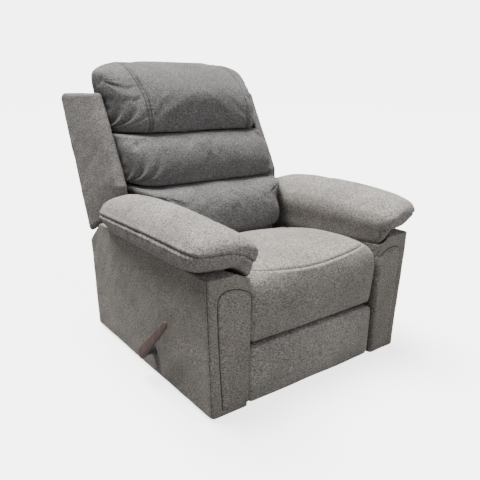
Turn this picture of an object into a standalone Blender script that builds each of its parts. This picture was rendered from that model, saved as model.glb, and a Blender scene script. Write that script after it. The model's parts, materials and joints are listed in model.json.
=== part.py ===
"""Manual recliner armchair: arms, seat, three-pillow back, footrest and side lever.

Metres, +Z up. The chair faces -Y, the lever is on the sitter's right (-X), and the origin is on
the floor under the centre of the chair's box. The model is at rest: upright and closed.
"""
import math

import bmesh
import bpy
from mathutils import Vector

# ---------------------------------------------------------------- driving dimensions
HEIGHT = 1.048              # floor to the crown of the head pillow
DEPTH = 1.103               # arm rest tips to the back's rear top corner
WIDTH = 0.972               # over the two arm rests
GAP = 0.0005                # between pieces that are fastened face to face
RUN = 0.003                 # between pieces that slide or swing past each other

# arms
PAD_OVERHANG = 0.053        # arm rest tip ahead of the arm's front
BACK_OVERHANG = 0.215       # back's rear top corner behind the arms
ARM_INNER = 0.289           # half the room between the arms
ARM_FOOT = 0.426            # half width over the arms at the floor
ARM_FLARE = 0.0205          # how much further out the side stands at the top
ARM_TOP = 0.463
ARM_REAR_TOP = 0.365        # height of the arm's rear edge, under the sloping corner
ARM_SLOPE_RUN = 0.118       # length of that slope from front to back
ARM_BOTTOM = 0.012
SIDE_WALL = 0.018
FRONT_WALL = 0.022
INNER_WALL = 0.012
REAR_WALL = 0.014
FRAME_PANEL = 0.015
FRAME_PANEL_IN = 0.046      # from the inner panel to the frame panel
PAD_HEIGHT = 0.139          # arm rest, above the arm
PAD_SHORT = 0.0105          # arm rest's rear end ahead of the back wings' lower front corner
GLIDE_RADIUS = 0.018
GLIDE_INSET = 0.055         # from the arm's front or rear

# between the arms
CROSS_RAIL = 0.030          # front to rear
CROSS_RAIL_Z = 0.020
CROSS_RAIL_BACK = 0.215     # front cross rail behind the arms' front
CROSS_RAIL_HEIGHTS = (0.065, 0.090)         # front, rear
REAR_PANEL = 0.016
REAR_PANEL_Z = (0.015, 0.236)
REAR_INSET = 0.026          # rear cross rail ahead of the arms' rear

# seat
SEAT_HALF = ARM_INNER - 0.005
SEAT_FRONT_Z = 0.214        # lower edge of the seat's front face
SEAT_TOP_Z = 0.447
SEAT_SEAM_Z = 0.425
SEAT_REAR_DROP = 0.040      # the seat is this much lower at its rear
SEAT_SHORT = 0.335          # cushion's rear ahead of the arms' rear
FRONT_PAD = 0.049
CUSHION_BOTTOM = 0.318
RAIL_BOTTOM = 0.262
RAIL_HEIGHT = 0.040
RAIL_WIDTH = 0.030
REAR_RAIL = 0.030
SPRINGS = 3
SPRING_PITCH = 0.125
SPRING_WIRE = 0.0022        # radius
SPRING_LOOPS = 9
SPRING_STEPS = 6            # straight pieces in each loop
SPRING_SWING = 0.020

# mechanism
PLATE = 0.0028              # thickness of links and side plates
LAYER = 0.006               # from one layer of links to the next
LINK = 0.130                # between the pivots of the two long links
LINK_HALF = 0.009
PIN = 0.004                 # radius
PIN_FIT = 0.0005            # room round a pin in its hole
PIN_SHORT = 0.0003          # a pin's end inside the holed plate's face
REAR_ANGLE = -8.0           # rear link at rest, forward of straight down, degrees
FRONT_ANGLE = 160.0         # front link at rest, from its lower pivot
ARM_OFFSET = 0.035          # parallel link's pivots, beyond the long links' pivots
TAIL = 0.030                # control link's pivot, on the front link's tail
CONTROL_BACK = 0.020
CONTROL_DROP = 0.032
PLATE_SKIRT = 0.045         # seat plate's lower edge below the seat's rails
BRACKET_TAIL = 0.045        # footrest bracket's lower end below the parallel link's pivot
BASE_RAIL = (0.150, 0.240)  # lowest and highest point
BASE_RAIL_INSET = (0.150, 0.110)            # behind the arm's front, ahead of its rear
BASE_RAIL_SIDE = (0.0055, 0.0018)           # its inner and outer face, inside the arm

# footrest
FOOT_Z = (0.008, 0.205)
FOOT_PAD = 0.050
FOOT_BOARD = 0.012
PIVOT_BEHIND = 0.022        # footrest's pivot behind its board
FOOT_PIVOT_Z = 0.1855

# back
BACK_RUN = 0.2292           # the cover's lower edge ahead of its top edge
BACK_LOW_Z = 0.410          # the cover's lower edge, just above the arms' rear corners
CROWN_RISE = 0.128          # head pillow's crown above the wings
COVER = 0.018
COVER_INSET = 0.045         # cover's side edge inside the wing's outer face
LOWER_COVER = 0.103         # height of the narrow cover between the arms
WING_OUT = (0.386, 0.451)   # half width over the wings, at their front and rear edges
WING_THICK = (0.050, 0.030)
WING_DEPTH_LOW = 0.184      # front to rear at the lower end
WING_DEPTH_TOP = 0.182
WING_LOW_Z = 0.505
WING_BEND = 0.095           # wing's front edge is upright this far up
WING_NOSE = 0.008           # roundness of its front edge
PILLOW_CLEAR = 0.008        # between a pillow's end and the wing
LUMBAR_THICK = 0.385
MIDDLE_THICK = 0.345
HEAD_THICK = 0.318
LOW_SEAM_Z = 0.600          # between the lumbar and the middle pillow
HIGH_SEAM_Z = 0.782         # between the middle and the head pillow
UPRIGHT = (0.030, 0.050)    # width and depth of a back upright
UPRIGHT_INSET = 0.024       # upright's outer face inside the arm
UPRIGHT_Z = 0.300           # upright's lower end
UPRIGHT_SHORT = 0.030       # its upper end below the back's top
BRACKET_TOP_Z = 0.440
BACK_RAIL = 0.030           # front to rear
TOP_RAIL_HEIGHT = 0.060
LOWER_RAIL_Z = (0.340, 0.395)
RECLINE_AHEAD = 0.1865      # recline pivot ahead of the arms' rear
RECLINE_Z = 0.200
PILLOW_GAP = 0.004

# lever
LEVER_BACK = 0.347          # lever's pivot behind the arm's front
LEVER_Z = 0.100
LEVER_LENGTH = 0.268
LEVER_LEAN = 44.0           # forward of vertical, degrees
LEVER_THICK = 0.014
LEVER_HEEL = 0.022          # part of the lever's length below its pivot
LEVER_INSIDE = 0.002        # lever's outer face inside the arm rest's
SHAFT_RADIUS = 0.008
SHAFT_FIT = 0.001           # room round the shaft in its holes
BOSS_WALL = 0.0056          # shaft's boss beyond its radius
BUSH_RADIUS = 0.021
BUSH_THICK = 0.006
BUSH_PROUD = 0.0025         # bush's inner face off the leaning side

FRONT = -DEPTH / 2 + PAD_OVERHANG            # y of the arms' and the footrest's front
ARM_REAR = DEPTH / 2 - BACK_OVERHANG
SEAT_DEPTH = ARM_REAR - FRONT - SEAT_SHORT
BACK_TOP = HEIGHT - CROWN_RISE
BACK_SLOPE = BACK_RUN / (BACK_TOP - BACK_LOW_Z)
WING_FRONT_LOW = DEPTH / 2 - (BACK_TOP - WING_LOW_Z) * BACK_SLOPE - WING_DEPTH_LOW
PAD_LENGTH = DEPTH / 2 + WING_FRONT_LOW - PAD_SHORT
COVER_HALF = WING_OUT[1] - COVER_INSET
PILLOW_HALF = WING_OUT[0] - WING_THICK[0] - PILLOW_CLEAR
UPRIGHT_X = ARM_INNER - UPRIGHT_INSET - UPRIGHT[0]
LEVER_OUT = WIDTH / 2 - LEVER_INSIDE
PLATE_X = ARM_INNER - 0.011                  # outer face of the seat's side plates
RECLINE_PIVOT = (ARM_REAR - RECLINE_AHEAD, RECLINE_Z)
LEVER_PIVOT = (FRONT + LEVER_BACK, LEVER_Z)
SIDE_RAIL_END = RECLINE_PIVOT[0] - 0.052


# ---------------------------------------------------------------- materials
def finish(name, color, roughness, metallic=0.0):
    """One Principled material."""
    material = bpy.data.materials.new(name)
    material.use_nodes = True
    shader = material.node_tree.nodes["Principled BSDF"]
    shader.inputs["Base Color"].default_value = (*color, 1.0)
    shader.inputs["Roughness"].default_value = roughness
    shader.inputs["Metallic"].default_value = metallic
    return material


# ---------------------------------------------------------------- mesh tools
def put(name, bm, material, origin=None, smooth=False):
    """Make one object of a bmesh, with its origin on a joint's axis where one is given."""
    bmesh.ops.remove_doubles(bm, verts=bm.verts, dist=1e-6)
    bmesh.ops.recalc_face_normals(bm, faces=bm.faces)
    if bm.calc_volume(signed=True) < 0:
        bmesh.ops.reverse_faces(bm, faces=bm.faces)
    if origin is not None:
        bmesh.ops.translate(bm, verts=bm.verts, vec=-Vector(origin))
    mesh = bpy.data.meshes.new(name)
    bm.to_mesh(mesh)
    bm.free()
    if smooth:
        mesh.shade_smooth()
        mesh.set_sharp_from_angle(angle=math.radians(40))
    mesh.materials.append(material)
    piece = bpy.data.objects.new(name, mesh)
    bpy.context.scene.collection.objects.link(piece)
    if origin is not None:
        piece.location = origin
    return piece


def loft(rings):
    """A closed skin through rings of as many points each, with a flat face at both ends."""
    bm = bmesh.new()
    rows = [[bm.verts.new(point) for point in ring] for ring in rings]
    count = len(rows[0])
    for low, high in zip(rows, rows[1:]):
        for i in range(count):
            j = (i + 1) % count
            bm.faces.new((low[i], low[j], high[j], high[i]))
    bm.faces.new(rows[0])
    bm.faces.new(rows[-1])
    return bm


def box(low, high):
    """A block between two corners."""
    ring = [(low[0], low[1]), (high[0], low[1]), (high[0], high[1]), (low[0], high[1])]
    return loft([[(x, y, z) for x, y in ring] for z in (low[2], high[2])])


def plate(outline, x_low, x_high):
    """A plate that stands in a plane across X, from its outline of (y, z) points."""
    return loft([[(x, y, z) for y, z in outline] for x in (x_low, x_high)])


def rounded(half_a, half_b, power, count=16):
    """Points round a rectangle with soft corners: a superellipse of the given power."""
    points = []
    for i in range(count):
        turn = 2 * math.pi * (i + 0.5) / count
        a = math.copysign(abs(math.cos(turn)) ** (2 / power), math.cos(turn))
        b = math.copysign(abs(math.sin(turn)) ** (2 / power), math.sin(turn))
        points.append((half_a * a, half_b * b))
    return points


def circle(center, radius, count=16, start=0.0, sweep=2 * math.pi):
    """Points on a circle or an arc in a plane."""
    steps = count if sweep > 6.28 else count - 1
    return [(center[0] + radius * math.cos(start + sweep * i / steps),
             center[1] + radius * math.sin(start + sweep * i / steps)) for i in range(count)]


def bar_outline(start, end, radius):
    """Outline of a bar with round ends between two points."""
    along = math.atan2(end[1] - start[1], end[0] - start[0])
    half = math.pi / 2
    return (circle(end, radius, 7, along - half, math.pi)
            + circle(start, radius, 7, along + half, math.pi))


def rod(center, radius, x_low, x_high, count=16):
    """A round pin or shaft along X."""
    return plate(circle(center, radius, count), x_low, x_high)


def cut(piece, cutter_mesh, name):
    """Cut a hole with a hidden cutter."""
    cutter = put(name, cutter_mesh, piece.data.materials[0])
    cutter.hide_render = True
    cutter.display_type = "WIRE"
    join_or_cut(piece, cutter, "DIFFERENCE")


def weld(piece, added_mesh, name):
    """Weld a pin or a boss on, as one body."""
    added = put(name, added_mesh, piece.data.materials[0])
    added.hide_render = True
    added.display_type = "WIRE"
    join_or_cut(piece, added, "UNION")


def join_or_cut(piece, other, operation):
    """A live Boolean, exact."""
    step = piece.modifiers.new(other.name, "BOOLEAN")
    step.operation = operation
    step.solver = "EXACT"
    step.object = other


def soften(piece, width, segments=2):
    """Round a piece's sharp edges."""
    bevel = piece.modifiers.new("soft edges", "BEVEL")
    bevel.width = width
    bevel.segments = segments
    bevel.limit_method = "ANGLE"
    bevel.angle_limit = math.radians(35)


def mirror_x(outline_low, outline_high, side):
    """Order two distances from the middle so that the lower X comes first."""
    ends = (side * outline_low, side * outline_high)
    return min(ends), max(ends)


SIDES = (("right", -1.0), ("left", 1.0))


# ---------------------------------------------------------------- arms
def side_x(z):
    """Half width over the arms at a height: the sides lean out towards the top."""
    return ARM_FOOT + ARM_FLARE * z / ARM_TOP


def arm_outline(front, rear, inset):
    """Side view of an arm: square in front, with a sloping corner at the rear top."""
    slope_top = ARM_REAR - ARM_SLOPE_RUN - inset
    return [(front, ARM_BOTTOM + inset), (rear, ARM_BOTTOM + inset), (rear, ARM_REAR_TOP - inset),
            (slope_top, ARM_TOP - inset), (front, ARM_TOP - inset)]


def build_arm(side_name, side, fabric, wood):
    """One arm: outer, inner, front and rear panels round a plywood frame panel."""
    behind_front = FRONT + FRONT_WALL + GAP
    outline = arm_outline(behind_front, ARM_REAR, 0.0)
    outer = loft([[(side * (side_x(z) - wall), y, z) for y, z in outline] for wall in (SIDE_WALL, 0.0)])
    outer_piece = put(f"arm_outer_panel_{side_name}", outer, fabric)
    low, high = mirror_x(ARM_INNER, ARM_INNER + INNER_WALL, side)
    inner_piece = put(f"arm_inner_panel_{side_name}", plate(outline, low, high), fabric)

    front_ring = []
    for z in (ARM_BOTTOM, ARM_TOP):
        front_ring.append([(side * ARM_INNER, FRONT, z), (side * side_x(z), FRONT, z),
                           (side * side_x(z), FRONT + FRONT_WALL, z),
                           (side * ARM_INNER, FRONT + FRONT_WALL, z)])
    soften(put(f"arm_front_panel_{side_name}", loft(front_ring), fabric), 0.006)

    rear_rings = []
    slope_top = ARM_REAR - ARM_SLOPE_RUN
    for y_in, y_out, z_in, z_out in (
            (ARM_REAR - REAR_WALL, ARM_REAR, ARM_BOTTOM, ARM_BOTTOM),
            (ARM_REAR - REAR_WALL, ARM_REAR, ARM_REAR_TOP - REAR_WALL / 2, ARM_REAR_TOP),
            (slope_top, slope_top + 0.002, ARM_TOP - REAR_WALL, ARM_TOP)):
        inner = side * (ARM_INNER + INNER_WALL + GAP)
        rear_rings.append([(inner, y_in, z_in), (side * (side_x(z_in) - SIDE_WALL - GAP), y_in, z_in),
                           (side * (side_x(z_out) - SIDE_WALL - GAP), y_out, z_out),
                           (inner, y_out, z_out)])
    put(f"arm_rear_panel_{side_name}", loft(rear_rings), fabric)

    middle = ARM_INNER + INNER_WALL + FRAME_PANEL_IN
    low, high = mirror_x(middle, middle + FRAME_PANEL, side)
    frame_rear = ARM_REAR - REAR_WALL - GAP
    frame_outline = arm_outline(behind_front, frame_rear, REAR_WALL * 2)
    frame_piece = put(f"arm_frame_{side_name}", plate(frame_outline, low, high), wood)
    return outer_piece, inner_piece, frame_piece


def build_pad(side_name, side, fabric):
    """A padded arm rest, through sections along its length: full in front, lower at the rear."""
    base = ARM_TOP + RUN
    inner = ARM_INNER - 0.002
    outer = WIDTH / 2
    # share of the length, trim of the inner and the outer side, lift of the underside, height share
    stations = ((0.0, 0.030, 0.110, 0.026, 0.40), (0.02, 0.012, 0.072, 0.012, 0.56),
                (0.06, 0.003, 0.030, 0.0, 0.70), (0.12, 0.0, 0.008, 0.0, 0.82),
                (0.22, 0.0, 0.0, 0.0, 0.92), (0.36, 0.0, 0.0, 0.0, 1.0), (0.55, 0.0, 0.0, 0.0, 1.0),
                (0.75, 0.0, 0.004, 0.0, 0.93), (0.90, 0.006, 0.012, 0.0, 0.78),
                (0.98, 0.020, 0.026, 0.004, 0.62), (1.0, 0.040, 0.046, 0.016, 0.46))
    rings = []
    for along, trim_in, trim_out, lift, high in stations:
        y = -DEPTH / 2 + PAD_LENGTH * along
        half_x = (outer - trim_out - inner - trim_in) / 2
        middle = (outer - trim_out + inner + trim_in) / 2
        low_z = base + lift
        high_z = base + PAD_HEIGHT * high
        ring = rounded(half_x, (high_z - low_z) / 2, 3.0)
        rings.append([(side * (middle + a), y, (low_z + high_z) / 2 + b) for a, b in ring])
    put(f"arm_rest_{side_name}", loft(rings), fabric, smooth=True)


def build_glides(rubber):
    """A round glide under each end of each arm."""
    for side_name, side in SIDES:
        for end, y in (("front", FRONT + GLIDE_INSET), ("rear", ARM_REAR - GLIDE_INSET)):
            x = side * (ARM_INNER + ARM_FOOT) / 2
            rings = [[(x + a, y + b, z) for a, b in circle((0, 0), radius, 20)]
                     for radius, z in ((GLIDE_RADIUS, 0.0), (GLIDE_RADIUS, ARM_BOTTOM - GAP))]
            put(f"glide_{end}_{side_name}", loft(rings), rubber)


def build_base_cross(wood, fabric):
    """Two rails that tie the arms together, and the padded panel that closes the base behind."""
    reach = ARM_INNER - GAP
    rear = ARM_REAR - REAR_INSET
    starts = (FRONT + CROSS_RAIL_BACK, rear - CROSS_RAIL)
    for name, y, height in zip(("front", "rear"), starts, CROSS_RAIL_HEIGHTS):
        rail = box((-reach, y, CROSS_RAIL_Z), (reach, y + CROSS_RAIL, CROSS_RAIL_Z + height))
        put(f"cross_rail_{name}", rail, wood)
    panel = box((-reach, rear + GAP, REAR_PANEL_Z[0]), (reach, rear + GAP + REAR_PANEL, REAR_PANEL_Z[1]))
    soften(put("rear_panel", panel, fabric), 0.005)


# ---------------------------------------------------------------- lever
def build_lever(wood, steel, dark, pierced):
    """The wooden lever on its shaft, the bush on the arm, and the shaft's holes in the arm."""
    y, z = LEVER_PIVOT
    lean = math.radians(LEVER_LEAN)
    up = Vector((0.0, -math.sin(lean), math.cos(lean)))
    across = Vector((0.0, math.cos(lean), math.sin(lean)))
    outer = -LEVER_OUT
    rings = []
    # distance from the pivot along the lever, half width, thickness share
    for along, half, thick in ((-LEVER_HEEL, 0.012, 0.70), (-0.012, 0.019, 1.0), (0.010, 0.021, 1.0),
                               (0.080, 0.018, 0.92), (0.160, 0.0145, 0.84), (0.225, 0.012, 0.78),
                               (0.240, 0.010, 0.70), (LEVER_LENGTH - LEVER_HEEL, 0.005, 0.45)):
        center = Vector((outer + LEVER_THICK / 2, y, z)) + up * along
        ring = rounded(LEVER_THICK / 2 * thick, half, 3.0, 12)
        rings.append([tuple(center + Vector((a, 0, 0)) + across * b) for a, b in ring])
    put("lever_handle", loft(rings), wood, origin=(outer, y, z), smooth=True)

    face = outer + LEVER_THICK + GAP
    bush_out = -(side_x(z) + BUSH_THICK + BUSH_PROUD)
    shaft = rod((y, z), SHAFT_RADIUS, face, -(ARM_INNER - RUN), 20)
    shaft_piece = put("lever_shaft", shaft, steel, origin=(outer, y, z), smooth=True)
    weld(shaft_piece, rod((y, z), SHAFT_RADIUS + BOSS_WALL, face, bush_out - GAP * 2, 20), "shaft_boss")
    ring = rod((y, z), BUSH_RADIUS, bush_out, bush_out + BUSH_THICK, 24)
    bush = put("lever_bush", ring, dark, smooth=True)
    hole = SHAFT_RADIUS + SHAFT_FIT
    cut(bush, rod((y, z), hole, bush_out - 0.01, bush_out + 0.02, 20), "bush_hole")
    for piece in pierced:
        cut(piece, rod((y, z), hole, -WIDTH / 2, 0.0, 20), f"{piece.name}_hole")


# ---------------------------------------------------------------- seat
def build_seat(fabric, wood, spring_steel):
    """The cushion and its front face on a wooden frame with sinuous springs."""
    rear = FRONT + SEAT_DEPTH
    front = FRONT + FRONT_PAD + RUN
    power = 6.0
    rings = []
    for share in (0.0, 0.04, 0.3, 0.7, 0.96, 1.0):
        y = front + (rear - front) * share
        trim = 0.012 if share in (0.0, 1.0) else 0.0
        top = SEAT_TOP_Z - SEAT_REAR_DROP * share - trim
        low = CUSHION_BOTTOM + trim
        ring = rounded(SEAT_HALF - trim, (top - low) / 2, power, 20)
        rings.append([(a, y, (top + low) / 2 + b) for a, b in ring])
    put("seat_cushion", loft(rings), fabric, smooth=True)
    face = box((-SEAT_HALF, FRONT, SEAT_FRONT_Z), (SEAT_HALF, FRONT + FRONT_PAD, SEAT_SEAM_Z))
    soften(put("seat_front_pad", face, fabric), 0.014, 3)

    rail_top = RAIL_BOTTOM + RAIL_HEIGHT
    outer = PLATE_X - PLATE - GAP
    rail_front = FRONT + FRONT_PAD + RUN
    for side_name, side in SIDES:
        low, high = mirror_x(outer - RAIL_WIDTH, outer, side)
        put(f"seat_side_rail_{side_name}",
            box((low, rail_front, RAIL_BOTTOM), (high, SIDE_RAIL_END, rail_top)), wood)
    reach = outer - RAIL_WIDTH - GAP
    for name, y in (("front", rail_front), ("rear", SIDE_RAIL_END - REAR_RAIL)):
        rail = box((-reach, y, RAIL_BOTTOM), (reach, y + REAR_RAIL, rail_top))
        put(f"seat_{name}_rail", rail, wood)
    for i in range(SPRINGS):
        x = (i - (SPRINGS - 1) / 2) * SPRING_PITCH
        build_spring(f"seat_spring_{i + 1}", x, rail_front + 0.008, SIDE_RAIL_END - 0.008,
                     rail_top + SPRING_WIRE + GAP, spring_steel)


def build_spring(name, x, y_front, y_rear, z, material):
    """A sinuous wire spring: it swings from side to side as it runs from rail to rail."""
    steps = SPRING_LOOPS * SPRING_STEPS
    curve = bpy.data.curves.new(name, "CURVE")
    curve.dimensions = "3D"
    curve.bevel_depth = SPRING_WIRE
    curve.bevel_resolution = 1
    curve.render_resolution_u = 0
    curve.use_fill_caps = True
    spline = curve.splines.new("POLY")
    spline.points.add(steps)
    for i in range(steps + 1):
        share = i / steps
        swing = math.sin(math.pi * SPRING_LOOPS * share)
        wide = math.copysign(abs(swing) ** 0.7, swing) * SPRING_SWING
        y = y_front + (y_rear - y_front) * share
        spline.points[i].co = (x + wide, y, z, 1.0)
    curve.materials.append(material)
    piece = bpy.data.objects.new(name, curve)
    bpy.context.scene.collection.objects.link(piece)


# ---------------------------------------------------------------- footrest mechanism
def toward(start, length, angle):
    """A point at a distance from another, at an angle forward of straight down."""
    turn = math.radians(angle)
    return (start[0] - length * math.sin(turn), start[1] - length * math.cos(turn))


FOOT_PIVOT = (FRONT + FOOT_PAD + FOOT_BOARD + PIVOT_BEHIND, FOOT_PIVOT_Z)
KNEE = toward(FOOT_PIVOT, -LINK, FRONT_ANGLE)                # rear link to front link
SEAT_PIVOT = toward(KNEE, -LINK, REAR_ANGLE)                 # seat plate to rear link
KNEE_LOW = toward(KNEE, ARM_OFFSET, REAR_ANGLE)              # rear link to parallel link
FOOT_LOW = toward(FOOT_PIVOT, ARM_OFFSET, REAR_ANGLE)        # footrest to parallel link, open
TAIL_PIVOT = toward(KNEE, -TAIL, FRONT_ANGLE)                # front link's tail, open
CONTROL_PIVOT = (SEAT_PIVOT[0] + CONTROL_BACK, SEAT_PIVOT[1] - CONTROL_DROP)


def layer(index, side):
    """X range of one layer of plates, counted inwards from the seat's side plate."""
    outer = PLATE_X - index * LAYER
    return mirror_x(outer - PLATE, outer, side)


def link(name, start, end, index, side, material, origin):
    """A flat bar between two pivots."""
    low, high = layer(index, side)
    return put(name, plate(bar_outline(start, end, LINK_HALF), low, high), material, (low, *origin))


def pivot(carrier, holed, at, carrier_index, holed_index, side, name):
    """A pin welded to one plate, turning in a hole in another, and ending just inside its far face."""
    if carrier_index < holed_index:
        outer = PLATE_X - carrier_index * LAYER - PLATE / 2
        inner = PLATE_X - holed_index * LAYER - PLATE + PIN_SHORT
    else:
        outer = PLATE_X - holed_index * LAYER - PIN_SHORT
        inner = PLATE_X - carrier_index * LAYER - PLATE / 2
    low, high = mirror_x(inner, outer, side)
    weld(carrier, rod(at, PIN, low, high, 12), f"{name}_pin")
    hole_low, hole_high = layer(holed_index, side)
    cut(holed, rod(at, PIN + PIN_FIT, hole_low - 0.001, hole_high + 0.001, 12), f"{name}_hole")


def build_mechanism(steel):
    """Base rails, seat plates and the footrest's links, layered inwards on both sides."""
    for side_name, side in SIDES:
        low, high = mirror_x(ARM_INNER - BASE_RAIL_SIDE[0], ARM_INNER - BASE_RAIL_SIDE[1], side)
        rail = box((low, FRONT + BASE_RAIL_INSET[0], BASE_RAIL[0]),
                   (high, ARM_REAR - BASE_RAIL_INSET[1], BASE_RAIL[1]))
        put(f"base_rail_{side_name}", rail, steel)

        low, high = layer(0, side)
        top = RAIL_BOTTOM + RAIL_HEIGHT - 0.004
        front = FRONT + FRONT_PAD + RUN
        recline = RECLINE_PIVOT
        outline = [(front, top), (front, RAIL_BOTTOM - 0.012), (SEAT_PIVOT[0] - 0.016, SEAT_PIVOT[1]),
                   (SEAT_PIVOT[0] - 0.006, SEAT_PIVOT[1] - 0.014),
                   (CONTROL_PIVOT[0], CONTROL_PIVOT[1] - 0.013),
                   (CONTROL_PIVOT[0] + 0.016, CONTROL_PIVOT[1]),
                   (CONTROL_PIVOT[0] + 0.090, RAIL_BOTTOM - PLATE_SKIRT),
                   (recline[0] - 0.090, RAIL_BOTTOM - PLATE_SKIRT),
                   (recline[0] - 0.022, recline[1] - 0.018), (recline[0] + 0.006, recline[1] - 0.024),
                   (recline[0] + 0.024, recline[1]), (recline[0] + 0.014, recline[1] + 0.050),
                   (recline[0] - 0.030, top)]
        seat_plate = put(f"seat_plate_{side_name}", plate(outline, low, high), steel)

        control = link(f"control_link_{side_name}", CONTROL_PIVOT, TAIL_PIVOT, 1, side, steel,
                       CONTROL_PIVOT)
        front_link = link(f"front_link_{side_name}", TAIL_PIVOT, FOOT_PIVOT, 2, side, steel, KNEE)
        rear_link = link(f"rear_link_{side_name}", SEAT_PIVOT, KNEE_LOW, 3, side, steel, SEAT_PIVOT)
        parallel = link(f"parallel_link_{side_name}", KNEE_LOW, FOOT_LOW, 4, side, steel, KNEE_LOW)

        low, high = layer(3, side)
        board_y = FRONT + FOOT_PAD + FOOT_BOARD + GAP
        bracket_outline = [(board_y, FOOT_PIVOT[1] + 0.008), (board_y, FOOT_LOW[1] - BRACKET_TAIL),
                           (board_y + 0.010, FOOT_LOW[1] - BRACKET_TAIL)]
        bracket_outline += circle(FOOT_LOW, LINK_HALF, 4, -1.2, 1.4)
        bracket_outline += circle(FOOT_PIVOT, LINK_HALF, 5, -0.2, 1.8)
        bracket = put(f"footrest_bracket_{side_name}", plate(bracket_outline, low, high), steel,
                      (low, *FOOT_PIVOT))

        pivot(rear_link, seat_plate, SEAT_PIVOT, 3, 0, side, f"seat_pivot_{side_name}")
        pivot(front_link, rear_link, KNEE, 2, 3, side, f"knee_{side_name}")
        pivot(front_link, bracket, FOOT_PIVOT, 2, 3, side, f"foot_pivot_{side_name}")
        pivot(parallel, rear_link, KNEE_LOW, 4, 3, side, f"parallel_pivot_{side_name}")
        pivot(control, seat_plate, CONTROL_PIVOT, 1, 0, side, f"control_pivot_{side_name}")


def build_footrest(fabric, wood):
    """The padded panel and its board; together they are the chair's lower front."""
    pad = box((-SEAT_HALF, FRONT, FOOT_Z[0]), (SEAT_HALF, FRONT + FOOT_PAD, FOOT_Z[1]))
    soften(put("footrest_pad", pad, fabric, (0.0, *FOOT_PIVOT)), 0.014, 3)
    board_front = FRONT + FOOT_PAD + GAP
    board = box((-SEAT_HALF + 0.012, board_front, FOOT_Z[0] + 0.012),
                (SEAT_HALF - 0.012, FRONT + FOOT_PAD + FOOT_BOARD, FOOT_Z[1] - 0.010))
    put("footrest_board", board, wood, (0.0, *FOOT_PIVOT))


# ---------------------------------------------------------------- back
def cover_y(z):
    """The back's rear face at a height."""
    return DEPTH / 2 - (BACK_TOP - z) * BACK_SLOPE


def raked_box(x_low, x_high, z_low, z_high, behind, depth):
    """A block between two heights that leans with the back, at a depth inside its rear face."""
    rings = []
    for z in (z_low, z_high):
        rear = cover_y(z) - behind
        rings.append([(x_low, rear - depth, z), (x_high, rear - depth, z), (x_high, rear, z),
                      (x_low, rear, z)])
    return loft(rings)


def build_back_frame(wood, steel):
    """Two uprights, two rails, and the steel brackets that hinge the back to the seat."""
    behind = COVER + GAP
    width, depth = UPRIGHT
    upright_high = BACK_TOP - UPRIGHT_SHORT
    for side_name, side in SIDES:
        low, high = mirror_x(UPRIGHT_X, UPRIGHT_X + width, side)
        put(f"back_upright_{side_name}", raked_box(low, high, UPRIGHT_Z, upright_high, behind, depth),
            wood)
        y, z = RECLINE_PIVOT
        low, high = layer(1, side)
        foot_z = UPRIGHT_Z + 0.004
        head_z = BRACKET_TOP_Z
        outline = circle((y, z), 0.022, 7, math.radians(150), math.radians(180))
        outline += [(cover_y(foot_z) - behind, foot_z), (cover_y(head_z) - behind - 0.004, head_z),
                    (cover_y(head_z) - behind - 0.034, head_z),
                    (cover_y(foot_z) - behind - depth - 0.004, foot_z + 0.030)]
        bracket = put(f"back_bracket_{side_name}", plate(outline, low, high), steel, (low, y, z))
        seat_plate = bpy.data.objects[f"seat_plate_{side_name}"]
        pivot(bracket, seat_plate, (y, z), 1, 0, side, f"recline_{side_name}")
    reach = UPRIGHT_X - GAP
    top_rail = raked_box(-reach, reach, upright_high - TOP_RAIL_HEIGHT, upright_high, behind, BACK_RAIL)
    put("back_top_rail", top_rail, wood)
    lower_rail = raked_box(-reach, reach, *LOWER_RAIL_Z, behind + 0.012, BACK_RAIL)
    put("back_lower_rail", lower_rail, wood)


def build_cover(fabric):
    """The flat rear cover between the wings, and the narrow one below it between the arms."""
    cover = raked_box(-COVER_HALF, COVER_HALF, BACK_LOW_Z + 0.004, BACK_TOP - 0.006, 0.0, COVER)
    soften(put("back_cover", cover, fabric), 0.005)
    reach = SEAT_HALF - 0.004
    lower = raked_box(-reach, reach, BACK_LOW_Z - 0.002 - LOWER_COVER, BACK_LOW_Z - 0.002, 0.0, COVER)
    soften(put("back_lower_cover", lower, fabric), 0.005)


def wing_front_y(z):
    """Front edge of a wing: upright beside the arm rest, then it leans back more than the cover."""
    low = WING_FRONT_LOW
    top = cover_y(BACK_TOP) - WING_DEPTH_TOP
    bend = WING_LOW_Z + WING_BEND
    return low + max(0.0, z - bend) * (top - low) / (BACK_TOP - bend)


def build_wing(side_name, side, fabric):
    """A padded side wing: narrow and forward at its front edge, wide at the rear."""
    rows = 9
    rings = []
    for i in range(rows):
        share = i / (rows - 1)
        # the lower edge slopes down towards the rear, over the arm's sloping corner
        ring = []
        for depth_share, thick_share in ((0, 0.5), (0, 0.15), (0.06, 0.0), (0.5, 0.0), (1, 0.0),
                                         (1, 1.0), (0.5, 1.0), (0.06, 1.0), (0, 0.85)):
            low = WING_LOW_Z + (BACK_LOW_Z - WING_LOW_Z) * depth_share
            high = BACK_TOP - 0.004 * (1 - depth_share)
            z = low + (high - low) * share
            front = wing_front_y(z)
            lead = WING_NOSE * math.sin(math.pi * thick_share) if depth_share == 0 else 0.0
            y = front - lead + WING_NOSE + (cover_y(z) - front - WING_NOSE) * depth_share
            out = WING_OUT[0] + (WING_OUT[1] - WING_OUT[0]) * depth_share
            thick = WING_THICK[0] + (WING_THICK[1] - WING_THICK[0]) * depth_share
            ring.append((side * (out - thick * thick_share), y, z))
        rings.append(ring)
    put(f"back_wing_{side_name}", loft(rings), fabric, smooth=True)


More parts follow.
